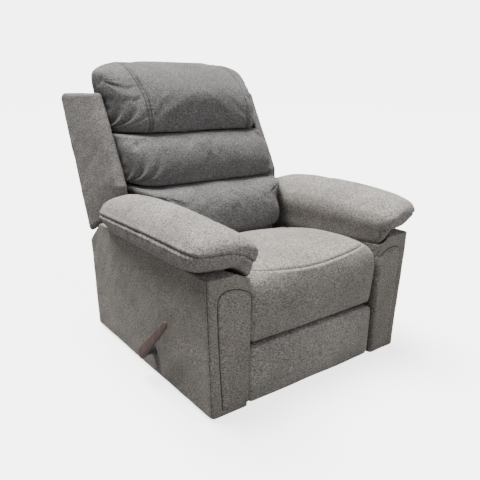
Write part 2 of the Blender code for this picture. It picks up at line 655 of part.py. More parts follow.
def pillow(name, stations, fabric, power=4.0):
    """A stuffed pillow through level sections: height, half width, front and rear."""
    rings = []
    for z, half, front, rear in stations:
        middle = (front + rear) / 2
        rings.append([(a, middle + b, z) for a, b in rounded(half, (rear - front) / 2, power, 20)])
    put(name, loft(rings), fabric, smooth=True)


def build_pillows(fabric):
    """Lumbar, middle and head pillows, one above the other on the back's frame."""
    inside = COVER + GAP + UPRIGHT[1] + RUN

    def rear(z):
        return cover_y(z) - inside

    seat_rear = FRONT + SEAT_DEPTH + RUN
    low_half = SEAT_HALF - 0.002
    seat_level = SEAT_TOP_Z - SEAT_REAR_DROP + 0.020

    # height, trim of the half width, and how far the front stands back from the fullest thickness
    def stations(rows, half, thick):
        return [(z, half - trim, cover_y(z) - thick + back, rear(z)) for z, trim, back in rows]

    low_rows = ((seat_level, 0.0, 0.045), (seat_level + 0.030, 0.0, 0.006),
                (LOW_SEAM_Z - 0.085, 0.0, 0.0), (LOW_SEAM_Z - 0.040, 0.0, 0.022),
                (LOW_SEAM_Z - PILLOW_GAP, 0.014, 0.075))
    lumbar = stations(low_rows, low_half, LUMBAR_THICK)
    behind_seat = [(CUSHION_BOTTOM + 0.022, low_half - 0.015, seat_rear + 0.010,
                    rear(CUSHION_BOTTOM + 0.022)),
                   (CUSHION_BOTTOM + 0.050, low_half, seat_rear, rear(CUSHION_BOTTOM + 0.050)),
                   (seat_level - 0.016, low_half, seat_rear, rear(seat_level - 0.016))]
    pillow("lumbar_pillow", behind_seat + lumbar, fabric)
    middle_rows = ((LOW_SEAM_Z, 0.034, 0.055), (LOW_SEAM_Z + 0.030, 0.006, 0.010),
                   (LOW_SEAM_Z + 0.080, 0.0, 0.0), (HIGH_SEAM_Z - 0.040, 0.0, 0.008),
                   (HIGH_SEAM_Z - PILLOW_GAP, 0.012, 0.055))
    pillow("middle_pillow", stations(middle_rows, PILLOW_HALF, MIDDLE_THICK), fabric)
    over = BACK_TOP + PILLOW_GAP
    head_rows = ((HIGH_SEAM_Z, 0.020, 0.045), (HIGH_SEAM_Z + 0.035, 0.0, 0.004),
                 (HIGH_SEAM_Z + 0.090, 0.0, 0.0), (over - 0.002, 0.0, 0.006))
    head = stations(head_rows, PILLOW_HALF, HEAD_THICK)
    # above the wings the pillow is a little wider and rolls over the top of the frame
    for rise, wider, back, rear_trim in ((0.004, 0.018, 0.008, 0.030), (0.035, 0.018, 0.026, 0.026),
                                         (0.075, 0.004, 0.058, 0.040), (0.104, -0.028, 0.100, 0.075),
                                         (HEIGHT - over, -0.088, 0.150, 0.120)):
        front = cover_y(over) - HEAD_THICK + back
        head.append((over + rise, PILLOW_HALF + wider, front, DEPTH / 2 - rear_trim))
    pillow("head_pillow", head, fabric)


# ---------------------------------------------------------------- the chair
def build_chair():
    """Clear the scene and build every piece."""
    for old in list(bpy.data.objects):
        bpy.data.objects.remove(old, do_unlink=True)
    fabric = finish("grey chenille", (0.20, 0.19, 0.18), 0.9)
    head_fabric = finish("grey chenille, back", (0.17, 0.17, 0.175), 0.9)
    lining = finish("dark lining", (0.05, 0.05, 0.05), 0.95)
    lever_wood = finish("stained lever wood", (0.16, 0.055, 0.03), 0.4)
    frame_wood = finish("pine and plywood", (0.55, 0.40, 0.24), 0.7)
    steel = finish("black painted steel", (0.03, 0.03, 0.03), 0.45, 0.6)
    spring_steel = finish("spring steel", (0.35, 0.35, 0.36), 0.35, 1.0)
    rubber = finish("black glide", (0.02, 0.02, 0.02), 0.7)

    pierced = []
    for side_name, side in SIDES:
        panels = build_arm(side_name, side, fabric, frame_wood)
        if side < 0:
            pierced = panels
        build_pad(side_name, side, fabric)
    build_glides(rubber)
    build_base_cross(frame_wood, lining)
    build_lever(lever_wood, steel, rubber, pierced)
    build_seat(fabric, frame_wood, spring_steel)
    build_mechanism(steel)
    build_footrest(fabric, frame_wood)
    build_back_frame(frame_wood, steel)
    build_cover(fabric)
    for side_name, side in SIDES:
        build_wing(side_name, side, fabric)
    build_pillows(head_fabric)


build_chair()
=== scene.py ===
import json
import math

import bpy
import numpy as np
from mathutils import Matrix, Vector
from mathutils.bvhtree import BVHTree


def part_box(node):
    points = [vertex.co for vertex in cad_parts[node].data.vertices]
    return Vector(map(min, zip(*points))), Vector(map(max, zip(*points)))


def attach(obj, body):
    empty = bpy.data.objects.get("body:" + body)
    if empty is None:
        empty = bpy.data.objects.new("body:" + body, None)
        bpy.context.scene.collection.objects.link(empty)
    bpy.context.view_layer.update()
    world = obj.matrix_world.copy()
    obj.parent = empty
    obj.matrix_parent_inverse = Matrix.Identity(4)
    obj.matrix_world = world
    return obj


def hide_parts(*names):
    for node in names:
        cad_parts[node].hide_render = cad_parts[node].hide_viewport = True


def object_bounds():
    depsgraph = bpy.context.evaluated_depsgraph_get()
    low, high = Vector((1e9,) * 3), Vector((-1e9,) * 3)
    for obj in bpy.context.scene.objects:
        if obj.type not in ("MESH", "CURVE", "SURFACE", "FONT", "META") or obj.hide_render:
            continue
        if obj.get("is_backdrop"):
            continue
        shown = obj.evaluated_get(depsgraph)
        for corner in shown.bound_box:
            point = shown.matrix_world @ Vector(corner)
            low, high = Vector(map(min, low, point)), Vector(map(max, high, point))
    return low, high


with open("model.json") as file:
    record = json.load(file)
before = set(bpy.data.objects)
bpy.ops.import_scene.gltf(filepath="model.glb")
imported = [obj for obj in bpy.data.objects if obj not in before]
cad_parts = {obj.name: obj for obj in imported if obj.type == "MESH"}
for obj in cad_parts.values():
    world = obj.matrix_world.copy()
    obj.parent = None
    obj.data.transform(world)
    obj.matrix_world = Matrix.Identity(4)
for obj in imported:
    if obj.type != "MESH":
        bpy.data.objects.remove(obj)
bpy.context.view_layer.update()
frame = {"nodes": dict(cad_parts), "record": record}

# ---------------------------------------------------------------- arm covers
# Left and right arm covers: woven chenille stretched over the arm's boards and stapled
# underneath. The front has a lightly padded inset behind a sewn arch, and every corner is sewn.


def node(tree, kind, inputs=None, **settings):
    """A shader node, with its settings and its inputs: a value, or another node's output."""
    made = tree.nodes.new(kind)
    for key, value in settings.items():
        setattr(made, key, value)
    for key, value in (inputs or {}).items():
        if isinstance(value, bpy.types.NodeSocket):
            tree.links.new(value, made.inputs[key])
        else:
            made.inputs[key].default_value = value
    return made


def math_node(tree, operation, a, b=0.0, c=0.0, clamp=False):
    """One arithmetic step on values or outputs."""
    return node(tree, "ShaderNodeMath", {0: a, 1: b, 2: c}, operation=operation, use_clamp=clamp).outputs[0]


def mix_colour(tree, factor, a, b, blend="MIX"):
    """Two colours mixed by a factor."""
    mix = node(tree, "ShaderNodeMix", data_type="RGBA", blend_type=blend)
    for socket, value in ((mix.inputs[0], factor), (mix.inputs[6], a), (mix.inputs[7], b)):
        if isinstance(value, bpy.types.NodeSocket):
            tree.links.new(value, socket)
        else:
            socket.default_value = value
    return mix.outputs[2]


def noise(tree, where, scale, detail, roughness):
    """Cloudy noise from 0 to 1."""
    inputs = {"Vector": where, "Scale": scale, "Detail": detail, "Roughness": roughness}
    return node(tree, "ShaderNodeTexNoise", inputs).outputs[0]


def ranged(tree, value, start, end, low=0.0, high=1.0, smooth=True):
    """A value carried from start..end to low..high and clipped there."""
    inputs = {"Value": value, "From Min": start, "From Max": end, "To Min": low, "To Max": high}
    kind = "SMOOTHSTEP" if smooth else "LINEAR"
    return node(tree, "ShaderNodeMapRange", inputs, interpolation_type=kind).outputs[0]


def group(name, takes, gives):
    """An empty node group, its inputs and its output node; None takes a vector, a tuple a colour."""
    tree = bpy.data.node_groups.new(name, "ShaderNodeTree")
    for label, value in takes.items():
        kind = "Vector" if value is None else "Color" if isinstance(value, tuple) else "Float"
        socket = tree.interface.new_socket(label, in_out="INPUT", socket_type="NodeSocket" + kind)
        if value is not None:
            socket.default_value = value
    for label in gives:
        kind = "Color" if label == "Color" else "Float"
        tree.interface.new_socket(label, in_out="OUTPUT", socket_type="NodeSocket" + kind)
    return tree, tree.nodes.new("NodeGroupInput").outputs, tree.nodes.new("NodeGroupOutput")


def chenille_group():
    """Heathered chenille: light and dark flecks along the yarn, slow shifts of tone, the weave's relief."""
    takes = {"Vector": None, "Base": (0.2, 0.19, 0.18, 1), "Dark": (0.05, 0.05, 0.05, 1),
             "Light": (0.5, 0.48, 0.45, 1), "Flecks": 1.0}
    tree, given, out = group("Chenille", takes, ("Color", "Height", "Roughness"))
    where = given["Vector"]
    yarn = node(tree, "ShaderNodeMapping", {"Vector": where, "Scale": (1.2, 1.3, 2.9)}).outputs[0]
    fleck = noise(tree, yarn, 250.0, 2.0, 0.7)
    slub = noise(tree, yarn, 105.0, 3.0, 0.75)
    cloud = noise(tree, where, 7.0, 3.0, 0.55)
    spread = math_node(tree, "MULTIPLY_ADD", slub, 0.45, math_node(tree, "MULTIPLY", fleck, 0.55))
    lights = ranged(tree, spread, 0.505, 0.62)
    darks = ranged(tree, spread, 0.495, 0.40)
    strength = given["Flecks"]
    body = mix_colour(tree, math_node(tree, "MULTIPLY", lights, strength), given["Base"], given["Light"])
    body = mix_colour(tree, math_node(tree, "MULTIPLY", darks, strength), body, given["Dark"])
    tone = ranged(tree, cloud, 0.3, 0.7, 0.86, 1.12, smooth=False)
    toned = node(tree, "ShaderNodeVectorMath", {0: body, 3: tone}, operation="SCALE").outputs[0]
    split = node(tree, "ShaderNodeSeparateXYZ", {0: where})
    rows = math_node(tree, "SINE", math_node(tree, "MULTIPLY", split.outputs[2], 2400.0))
    across = math_node(tree, "ADD", split.outputs[0], split.outputs[1])
    columns = math_node(tree, "SINE", math_node(tree, "MULTIPLY", across, 2100.0))
    weave = math_node(tree, "MULTIPLY", rows, columns)
    height = math_node(tree, "MULTIPLY_ADD", weave, 0.15, spread)
    tree.links.new(toned, out.inputs["Color"])
    tree.links.new(height, out.inputs["Height"])
    rough = math_node(tree, "MULTIPLY_ADD", spread, 0.25, 0.75)
    tree.links.new(rough, out.inputs["Roughness"])
    return tree


def seam_group():
    """A sewn seam from (along, across, present): a dark line with stitches on one or both sides."""
    takes = {"Seam": None, "Pitch": 0.0065, "Offset": 0.006, "Both": 1.0, "Line": 0.0016}
    tree, given, out = group("Sewn seam", takes, ("Line", "Thread", "Height"))
    split = node(tree, "ShaderNodeSeparateXYZ", {0: given["Seam"]})
    along, across, present = split.outputs
    away = math_node(tree, "ABSOLUTE", across)
    line = ranged(tree, away, given["Line"], 0.0)
    line = math_node(tree, "MULTIPLY", line, present)
    one_side = math_node(tree, "MULTIPLY_ADD", math_node(tree, "SUBTRACT", away, across), given["Both"],
                         across)
    gap = math_node(tree, "ABSOLUTE", math_node(tree, "SUBTRACT", one_side, given["Offset"]))
    beside = ranged(tree, gap, 0.0011, 0.0003, smooth=False)
    turn = math_node(tree, "FRACT", math_node(tree, "DIVIDE", along, given["Pitch"]))
    dash = ranged(tree, math_node(tree, "ABSOLUTE", math_node(tree, "SUBTRACT", turn, 0.5)), 0.38, 0.28,
                  smooth=False)
    thread = math_node(tree, "MULTIPLY", math_node(tree, "MULTIPLY", beside, dash), present)
    ditch = ranged(tree, gap, 0.0035, 0.0)
    ditch = math_node(tree, "MULTIPLY", ditch, present)
    height = math_node(tree, "MULTIPLY_ADD", thread, 0.7, math_node(tree, "MULTIPLY_ADD", ditch, -0.6,
                                                                    math_node(tree, "MULTIPLY", line,
                                                                              -1.2)))
    tree.links.new(line, out.inputs["Line"])
    tree.links.new(thread, out.inputs["Thread"])
    tree.links.new(height, out.inputs["Height"])
    return tree


CHENILLE = chenille_group()
SEAM = seam_group()


def started(name):
    """A new material: itself, its nodes, its shader and the piece's own coordinates."""
    made = bpy.data.materials.new(name)
    made.use_nodes = True
    tree = made.node_tree
    where = node(tree, "ShaderNodeTexCoord").outputs["Object"]
    return made, tree, tree.nodes["Principled BSDF"], where


def patterned(tree, pattern, vector, **values):
    """A shared pattern placed in a material, with this material's colours and numbers."""
    used = node(tree, "ShaderNodeGroup", {"Vector": vector}, node_tree=pattern)
    for label, value in values.items():
        used.inputs[label].default_value = (*value, 1) if isinstance(value, tuple) else value
    return used.outputs


def surface(tree, shader, colour, roughness, height, strength, distance):
    """Gives the shader its colour, its roughness and its relief."""
    bump = node(tree, "ShaderNodeBump", {"Strength": strength, "Distance": distance, "Height": height})
    for label, value in (("Base Color", colour), ("Roughness", roughness), ("Normal", bump.outputs[0])):
        tree.links.new(value, shader.inputs[label])


# painted shade: near black, for the shadow in each seam's groove
SEAM_SHADE = (0.012, 0.011, 0.010, 1)


def fabric(name, base, dark, light, both=1.0, offset=0.006, line=0.0016):
    """Chenille upholstery whose seams and stitches come from the mesh's seam attribute, with painted shade
    along each seam's line.
    """
    made, tree, shader, where = started(name)
    weave = patterned(tree, CHENILLE, where, Base=base, Dark=dark, Light=light)
    stored = node(tree, "ShaderNodeAttribute", attribute_name="seam").outputs["Vector"]
    sewn = node(tree, "ShaderNodeGroup", {"Seam": stored, "Both": both, "Offset": offset, "Line": line},
                node_tree=SEAM).outputs
    thread = tuple(c * 1.25 for c in base) + (1,)
    # painted shade: the seam's line is darkened nearly to black, as the shadow in its groove
    colour = mix_colour(tree, sewn["Line"], weave["Color"], SEAM_SHADE)
    colour = mix_colour(tree, sewn["Thread"], colour, thread)
    relief = math_node(tree, "ADD", math_node(tree, "MULTIPLY", weave["Height"], 0.9), sewn["Height"])
    surface(tree, shader, colour, weave["Roughness"], relief, 0.75, 0.0015)
    shader.inputs["Sheen Weight"].default_value = 0.06
    shader.inputs["Sheen Roughness"].default_value = 0.45
    shader.inputs["Specular IOR Level"].default_value = 0.15
    return made


def rounded_square(turn, power):
    """A unit square with rounded corners: the sine and cosine of turn, each raised to 2 / power."""
    c, s = np.cos(turn), np.sin(turn)
    return np.sign(c) * np.abs(c) ** (2 / power), np.sign(s) * np.abs(s) ** (2 / power)


def even(outline, count, closed=True):
    """Points at equal steps along an outline."""
    points = np.asarray(outline, float)
    if closed:
        points = np.concatenate([points, points[:1]])
    run = np.concatenate([[0], np.cumsum(np.linalg.norm(np.diff(points, axis=0), axis=1))])
    at = np.linspace(0, run[-1], count, endpoint=not closed)
    return np.stack([np.interp(at, run, points[:, k]) for k in range(points.shape[1])], -1)


def curve(points, count=240, closed=True):
    """A smooth line through points: cubic pieces whose slope at a point follows its two neighbours."""
    p = np.asarray(points, float)
    n = len(p)
    t = np.linspace(0, n if closed else n - 1, count, endpoint=not closed)
    i = np.minimum(t.astype(int), n - 1 if closed else n - 2)
    f = (t - i)[:, None]

    def at(k):
        return p[k % n] if closed else p[np.clip(k, 0, n - 1)]

    a, b, c, d = at(i - 1), at(i), at(i + 1), at(i + 2)
    square, cube = 2 * a - 5 * b + 4 * c - d, 3 * b - a - 3 * c + d
    return 0.5 * (2 * b + (c - a) * f + square * f ** 2 + cube * f ** 3)


def piece_from(name, points, faces, material, body, smooth=True):
    """A mesh with outward faces that rides on a body and takes its finish from a slot."""
    mesh = bpy.data.meshes.new(name)
    mesh.from_pydata(points.tolist(), [], faces)
    mesh.update()
    mesh.calc_loop_triangles()
    triangles = np.zeros(3 * len(mesh.loop_triangles), int)
    mesh.loop_triangles.foreach_get("vertices", triangles)
    a, b, c = (points[triangles.reshape(-1, 3)[:, k]] for k in range(3))
    if np.einsum("ij,ij->i", a, np.cross(b, c)).sum() < 0:
        mesh.flip_normals()
    mesh.polygons.foreach_set("use_smooth", np.full(len(mesh.polygons), smooth))
    mesh.materials.append(material)
    piece = bpy.data.objects.new(name, mesh)
    bpy.context.scene.collection.objects.link(piece)
    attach(piece, body)
    return piece


def grid_faces(rows, cols, wrap_rows=False):
    """Quads over rows of points, each row a closed ring; the rows close on themselves too when asked."""
    i = np.arange(rows if wrap_rows else rows - 1)[:, None]
    j = np.arange(cols)[None]
    k, after = (j + 1) % cols, (i + 1) % rows
    return np.stack([i * cols + j, i * cols + k, after * cols + k, after * cols + j],
                    -1).reshape(-1, 4).tolist()


def lofted(name, rings, material, body):
    """A closed piece over rings[row, point, xyz], with a flat face over its first and last ring."""
    rows, cols, _ = rings.shape
    faces = grid_faces(rows, cols) + [list(range(cols))[::-1], list(range((rows - 1) * cols, rows * cols))]
    return piece_from(name, rings.reshape(-1, 3), faces, material, body)


def coordinates(piece):
    """The piece's points and normals."""
    mesh = piece.data
    co = np.zeros(len(mesh.vertices) * 3, np.float32)
    normal = np.zeros(len(mesh.vertices) * 3, np.float32)
    mesh.vertices.foreach_get("co", co)
    mesh.vertex_normals.foreach_get("vector", normal)
    return co.reshape(-1, 3).astype(float), normal.reshape(-1, 3).astype(float)


def reshape(piece, co):
    """Moves the piece's points."""
    piece.data.vertices.foreach_set("co", co.astype(np.float32).ravel())
    piece.data.update()


def trace(piece, starts, direction, reach=0.6):
    """The line where rays from starts meet the piece."""
    mesh = piece.data
    tree = BVHTree.FromPolygons([v.co for v in mesh.vertices], [p.vertices for p in mesh.polygons])
    directions = np.broadcast_to(np.asarray(direction, float), np.asarray(starts).shape)
    hits = [tree.ray_cast(Vector(s), Vector(d).normalized(), reach)[0] for s, d in zip(starts, directions)]
    return even([tuple(h) for h in hits if h is not None], 160, closed=False)


def nearest(co, normal, line):
    """Per point: distance along the line, signed distance across it, and the whole distance."""
    tangent = np.gradient(line, axis=0)
    tangent /= np.linalg.norm(tangent, axis=1)[:, None]
    run = np.concatenate([[0], np.cumsum(np.linalg.norm(np.diff(line, axis=0), axis=1))])
    pick = np.concatenate([((part[:, None] - line[None]) ** 2).sum(-1).argmin(1)
                           for part in np.array_split(co, max(1, len(co) // 4000))])
    away = co - line[pick]
    ahead = (away * tangent[pick]).sum(1)
    away -= ahead[:, None] * tangent[pick]
    size = np.linalg.norm(away, axis=1)
    side = np.where((away * np.cross(tangent[pick], normal)).sum(1) < 0, -1.0, 1.0)
    over = np.where((pick == 0) & (ahead < 0) | (pick == len(line) - 1) & (ahead > 0), np.abs(ahead), 0.0)
    return run[pick] + ahead, size * side, np.hypot(size, over)


def bell(value, width):
    """1 where the value is 0, and falling to nothing over about two widths on each side."""
    return np.exp(-((value / width) ** 2))


def sew(piece, lines, depth=0.003, width=0.006, pucker=0.0007, ridge=0.0):
    """Draws the cover in along each seam, puckers it, and stores (along, across, present) on the mesh."""
    co, normal = coordinates(piece)
    best = np.full(len(co), 1e9)
    field = np.zeros((len(co), 3))
    push = np.zeros(len(co))
    for line in lines:
        along, across, away = nearest(co, normal, line)
        near = bell(away, width)
        beside = bell(away, 0.022)
        gathers = np.sin(along * 285.0 + 2.0 * np.sin(along * 61.0))
        bead = bell(away - 0.009, 0.006)
        push += -depth * near + ridge * bead + pucker * beside * gathers
        closer = away < best
        present = np.where(away < np.abs(across) + 0.002, 1.0, 0.0)
        field[closer] = np.stack([along, across, present], -1)[closer]
        best = np.minimum(best, away)
    reshape(piece, co + normal * push[:, None])
    attribute = piece.data.attributes.new("seam", "FLOAT_VECTOR", "POINT")
    attribute.data.foreach_set("vector", field.astype(np.float32).ravel())


def ripple(co, size, seed):
    """Slow uneven waves from -1 to 1: the mean of seven sines in fixed directions."""
    chance = np.random.RandomState(seed)
    total = np.zeros(len(co))
    for _ in range(7):
        way = chance.normal(size=3)
        way *= 2 * math.pi / (size * chance.uniform(0.7, 1.6)) / np.linalg.norm(way)
        total += np.sin(co @ way + chance.uniform(0, 6.28))
    return total / 4.0


def uneven(piece, *waves):
    """Slow unevenness along the normals; each wave is its height, its size and its seed."""
    co, normal = coordinates(piece)
    total = sum(high * ripple(co, size, seed) for high, size, seed in waves)
    reshape(piece, co + normal * total[:, None])


SIDES = (("left", 1), ("right", -1))
BODY_FABRIC = fabric("chenille_body", (0.112, 0.102, 0.092), (0.028, 0.025, 0.023), (0.235, 0.217, 0.197))
INSET_FABRIC = fabric("chenille_inset", (0.112, 0.102, 0.092), (0.028, 0.025, 0.023), (0.235, 0.217, 0.197),
                      both=0.0, offset=-0.005, line=0.0022)


def arm_cover(side_name, side):
    """A rectangular tube in plan, whose section runs down the outside of its wall and up the inside."""
    outer_low, outer_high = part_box(f"arm_outer_panel_{side_name}")
    inner_low, inner_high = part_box(f"arm_inner_panel_{side_name}")
    _, rear_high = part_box(f"arm_rear_panel_{side_name}")
    front_low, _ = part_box(f"arm_front_panel_{side_name}")
    bottom, top = outer_low.z, outer_high.z
    front, rear = front_low.y, rear_high.y
    inner = min(abs(inner_low.x), abs(inner_high.x))
    # half width at the floor, its gain at the top, the rear slope's lower end and run, the wall
    foot, flare, slope_top, slope_run, wall = 0.426, 0.0205, 0.365, 0.118, 0.016
    # points in plan: over the front, along a side, over the rear, along the inner side
    in_front, on_side, at_rear, on_inner = 64, 90, 18, 60
    side_y = np.linspace(0, 1, on_side)[1:]
    rear_x = np.linspace(1, 0, at_rear)[1:]
    inner_y = np.linspace(1, 0, on_inner)[1:-1]
    # share is 0 on the arm's inner side and 1 on its outer side; depth is 0 in front and 1 behind
    share = np.concatenate([np.linspace(0, 1, in_front), np.ones(on_side - 1), rear_x,
                            np.zeros(on_inner - 2)])
    depth = np.concatenate([np.zeros(in_front), side_y, np.ones(at_rear - 1), inner_y])
    corner = 0.010
    # section: down the outside, round the lower edge, up the inside, out over the arm's board and back
    on_face, on_edge, on_back, on_board = 150, 4, 12, 8
    inset = np.concatenate([np.zeros(on_face), wall * np.linspace(0.2, 0.8, on_edge),
                            np.full(on_back, wall), [0.072, 0.072], np.linspace(0.060, 0.004, on_board)])
    high = np.concatenate([np.linspace(1, 0, on_face), np.zeros(on_edge), np.linspace(0, 0.93, on_back),
                           [0.94, 0.99], np.ones(on_board)])
    edge = np.concatenate([np.zeros(on_face), [-0.002, -0.003, -0.003, -0.002], np.zeros(on_back + 2),
                           np.linspace(0.004, 0.001, on_board)])
    s, d = share[:, None], depth[:, None]
    w, h = inset[None], high[None]
    run = rear - front
    y = front + w + d * (run - 2 * w)
    past = np.clip((y - (rear - slope_run)) / slope_run, 0, 1)
    crest_out = top - 0.002 - past * (top - slope_top)
    crest_in = np.minimum(crest_out, 0.435 - 0.050 * d)
    crest = crest_in + (crest_out - crest_in) * np.clip(s * 3.0, 0, 1) ** 0.8
    z = bottom + edge[None] + h * (crest - bottom)
    out = foot + flare * (z - bottom) / (top - bottom)
    x = inner + w + s * (out - inner - 2 * w)
    grid = np.stack([x * side, y + 0 * x, z], -1)
    # soft corners: both coordinates move in near a corner
    gap_x = np.minimum(x - (inner + w), (out - w) - x)
    gap_y = np.minimum(y - (front + w), (rear - w) - y)
    ease_by = corner * 0.30 * bell(gap_x + gap_y, corner * 0.55)
    grid[..., 0] -= side * ease_by * np.where(x > (inner + out) / 2, 1, -1)
    grid[..., 1] += ease_by * np.where(y < (front + rear) / 2, 1, -1)
    piece = piece_from(f"arm_cover_{side_name}", grid.reshape(-1, 3),
                       grid_faces(*grid.shape[:2], wrap_rows=True), INSET_FABRIC, "base")
    co, normal = coordinates(piece)
    outside = np.clip(np.abs(co[:, 0]) - 0.40, 0, 0.02) / 0.02
    co += normal * (0.0016 * ripple(co, 0.30, 3) * outside + 0.0007 * ripple(co, 0.07, 5))[:, None]
    # the inset's arch, seen from in front: up the outer side, over the top, down to the inner edge
    arch = curve([(0.387, 0.030), (0.396, 0.14), (0.405, 0.27), (0.409, 0.365), (0.407, 0.394),
                  (0.397, 0.411), (0.374, 0.4185), (0.340, 0.416), (0.310, 0.404), (0.289, 0.390)], 160,
                 closed=False)
    on_front = co[:, 1] < front + 0.004
    line = np.stack([side * arch[:, 0], np.full(160, front - 0.0005), arch[:, 1]], -1)
    _, across, away = nearest(co, normal, line)
    right_of = across * (1 if side < 0 else -1)
    swell = np.clip(away / 0.030, 0, 1) ** 0.6 * (right_of > 0)
    co[:, 1] -= on_front * 0.007 * swell * (co[:, 2] > 0.03)
    reshape(piece, co)
    corner_line = np.stack([np.full(120, 0.0), np.full(120, front + 0.0045),
                            np.linspace(0.016, 0.455, 120)], -1)
    corner_line[:, 0] = side * (foot + flare * (corner_line[:, 2] - bottom) / (top - bottom))
    rear_line = corner_line * [1, 0, 0.80] + [0, rear - 0.004, 0]
    sew(piece, [line, corner_line, rear_line], depth=0.0026, width=0.0045, pucker=0.0003)
    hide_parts(*(f"arm_{part}_panel_{side_name}" for part in ("outer", "inner", "front", "rear")))
    return piece


for side_name, side in SIDES:
    arm_cover(side_name, side)

# ---------------------------------------------------------------- arm rests
# A padded rest on each arm: fibre and foam in a chenille cover, with a top panel sewn to a
# boxing strip by a double-stitched seam. The cover is filled by a short cloth simulation.

TOP_FABRIC = fabric("chenille_top", (0.122, 0.114, 0.106), (0.034, 0.031, 0.029), (0.250, 0.236, 0.220),
                    offset=0.0050, line=0.0018)
LAST_FRAME = 20


def applied(piece, kind, **settings):
    """Adds a modifier, sets it and applies it."""
    bpy.context.view_layer.objects.active = piece
    modifier = piece.modifiers.new("shape", kind)
    for key, value in settings.items():
        setattr(modifier, key, value)
    bpy.ops.object.modifier_apply(modifier=modifier.name)


def fill(piece, held, limit, surplus=0.02):
    """Fills the cover: held points stay, and the rest is blown up, at most limit metres out."""
    applied(piece, "REMESH", mode="VOXEL", voxel_size=0.0065, use_smooth_shade=True)
    applied(piece, "SMOOTH", factor=0.5, iterations=3)
    rest, normal = coordinates(piece)
    hold = held(rest)
    pinned = piece.vertex_groups.new(name="held")
    for level in (0.5, 1.0):
        chosen = np.flatnonzero(hold >= level)
        pinned.add(chosen.tolist(), float(level), "REPLACE")
    # the free parts start 3 mm inside, so that they swell to their place
    reshape(piece, rest - normal * (0.003 * (1 - np.clip(hold, 0, 1)))[:, None])
    cloth = piece.modifiers.new("fill", "CLOTH")
    settings = cloth.settings
    settings.quality = 5
    settings.mass = 0.35
    settings.tension_stiffness = settings.compression_stiffness = 18
    settings.shear_stiffness = 6
    settings.bending_stiffness = 2.5
    settings.use_pressure = True
    settings.uniform_pressure_force = 4.0
    settings.shrink_min = -surplus
    settings.vertex_group_mass = "held"
    settings.effector_weights.gravity = 0
    cloth.collision_settings.use_collision = False
    cloth.collision_settings.use_self_collision = False
    cloth.point_cache.frame_start, cloth.point_cache.frame_end = 1, LAST_FRAME
    scene = bpy.context.scene
    for number in range(1, LAST_FRAME + 1):
        scene.frame_set(number)
    graph = bpy.context.evaluated_depsgraph_get()
    blown = piece.evaluated_get(graph)
    co = np.zeros(len(rest) * 3, np.float32)
    blown.data.vertices.foreach_get("co", co)
    piece.modifiers.remove(cloth)
    piece.vertex_groups.clear()
    scene.frame_set(1)
    move = co.reshape(-1, 3) - rest
    size = np.linalg.norm(move, axis=1)[:, None]
    move *= limit * np.tanh(size / limit) / np.maximum(size, 1e-9)
    reshape(piece, rest + move)


def refine(piece):
    """Takes the simulation's fine noise off the cover and doubles its mesh once."""
    applied(piece, "SMOOTH", factor=0.5, iterations=4)
    applied(piece, "SUBSURF", levels=1, render_levels=1)
    piece.data.polygons.foreach_set("use_smooth", np.ones(len(piece.data.polygons), bool))


def smooth_step(value, low, high):
    """0 below low, 1 above high, and an even change between."""
    t = np.clip((value - low) / (high - low), 0, 1)
    return t * t * (3 - 2 * t)


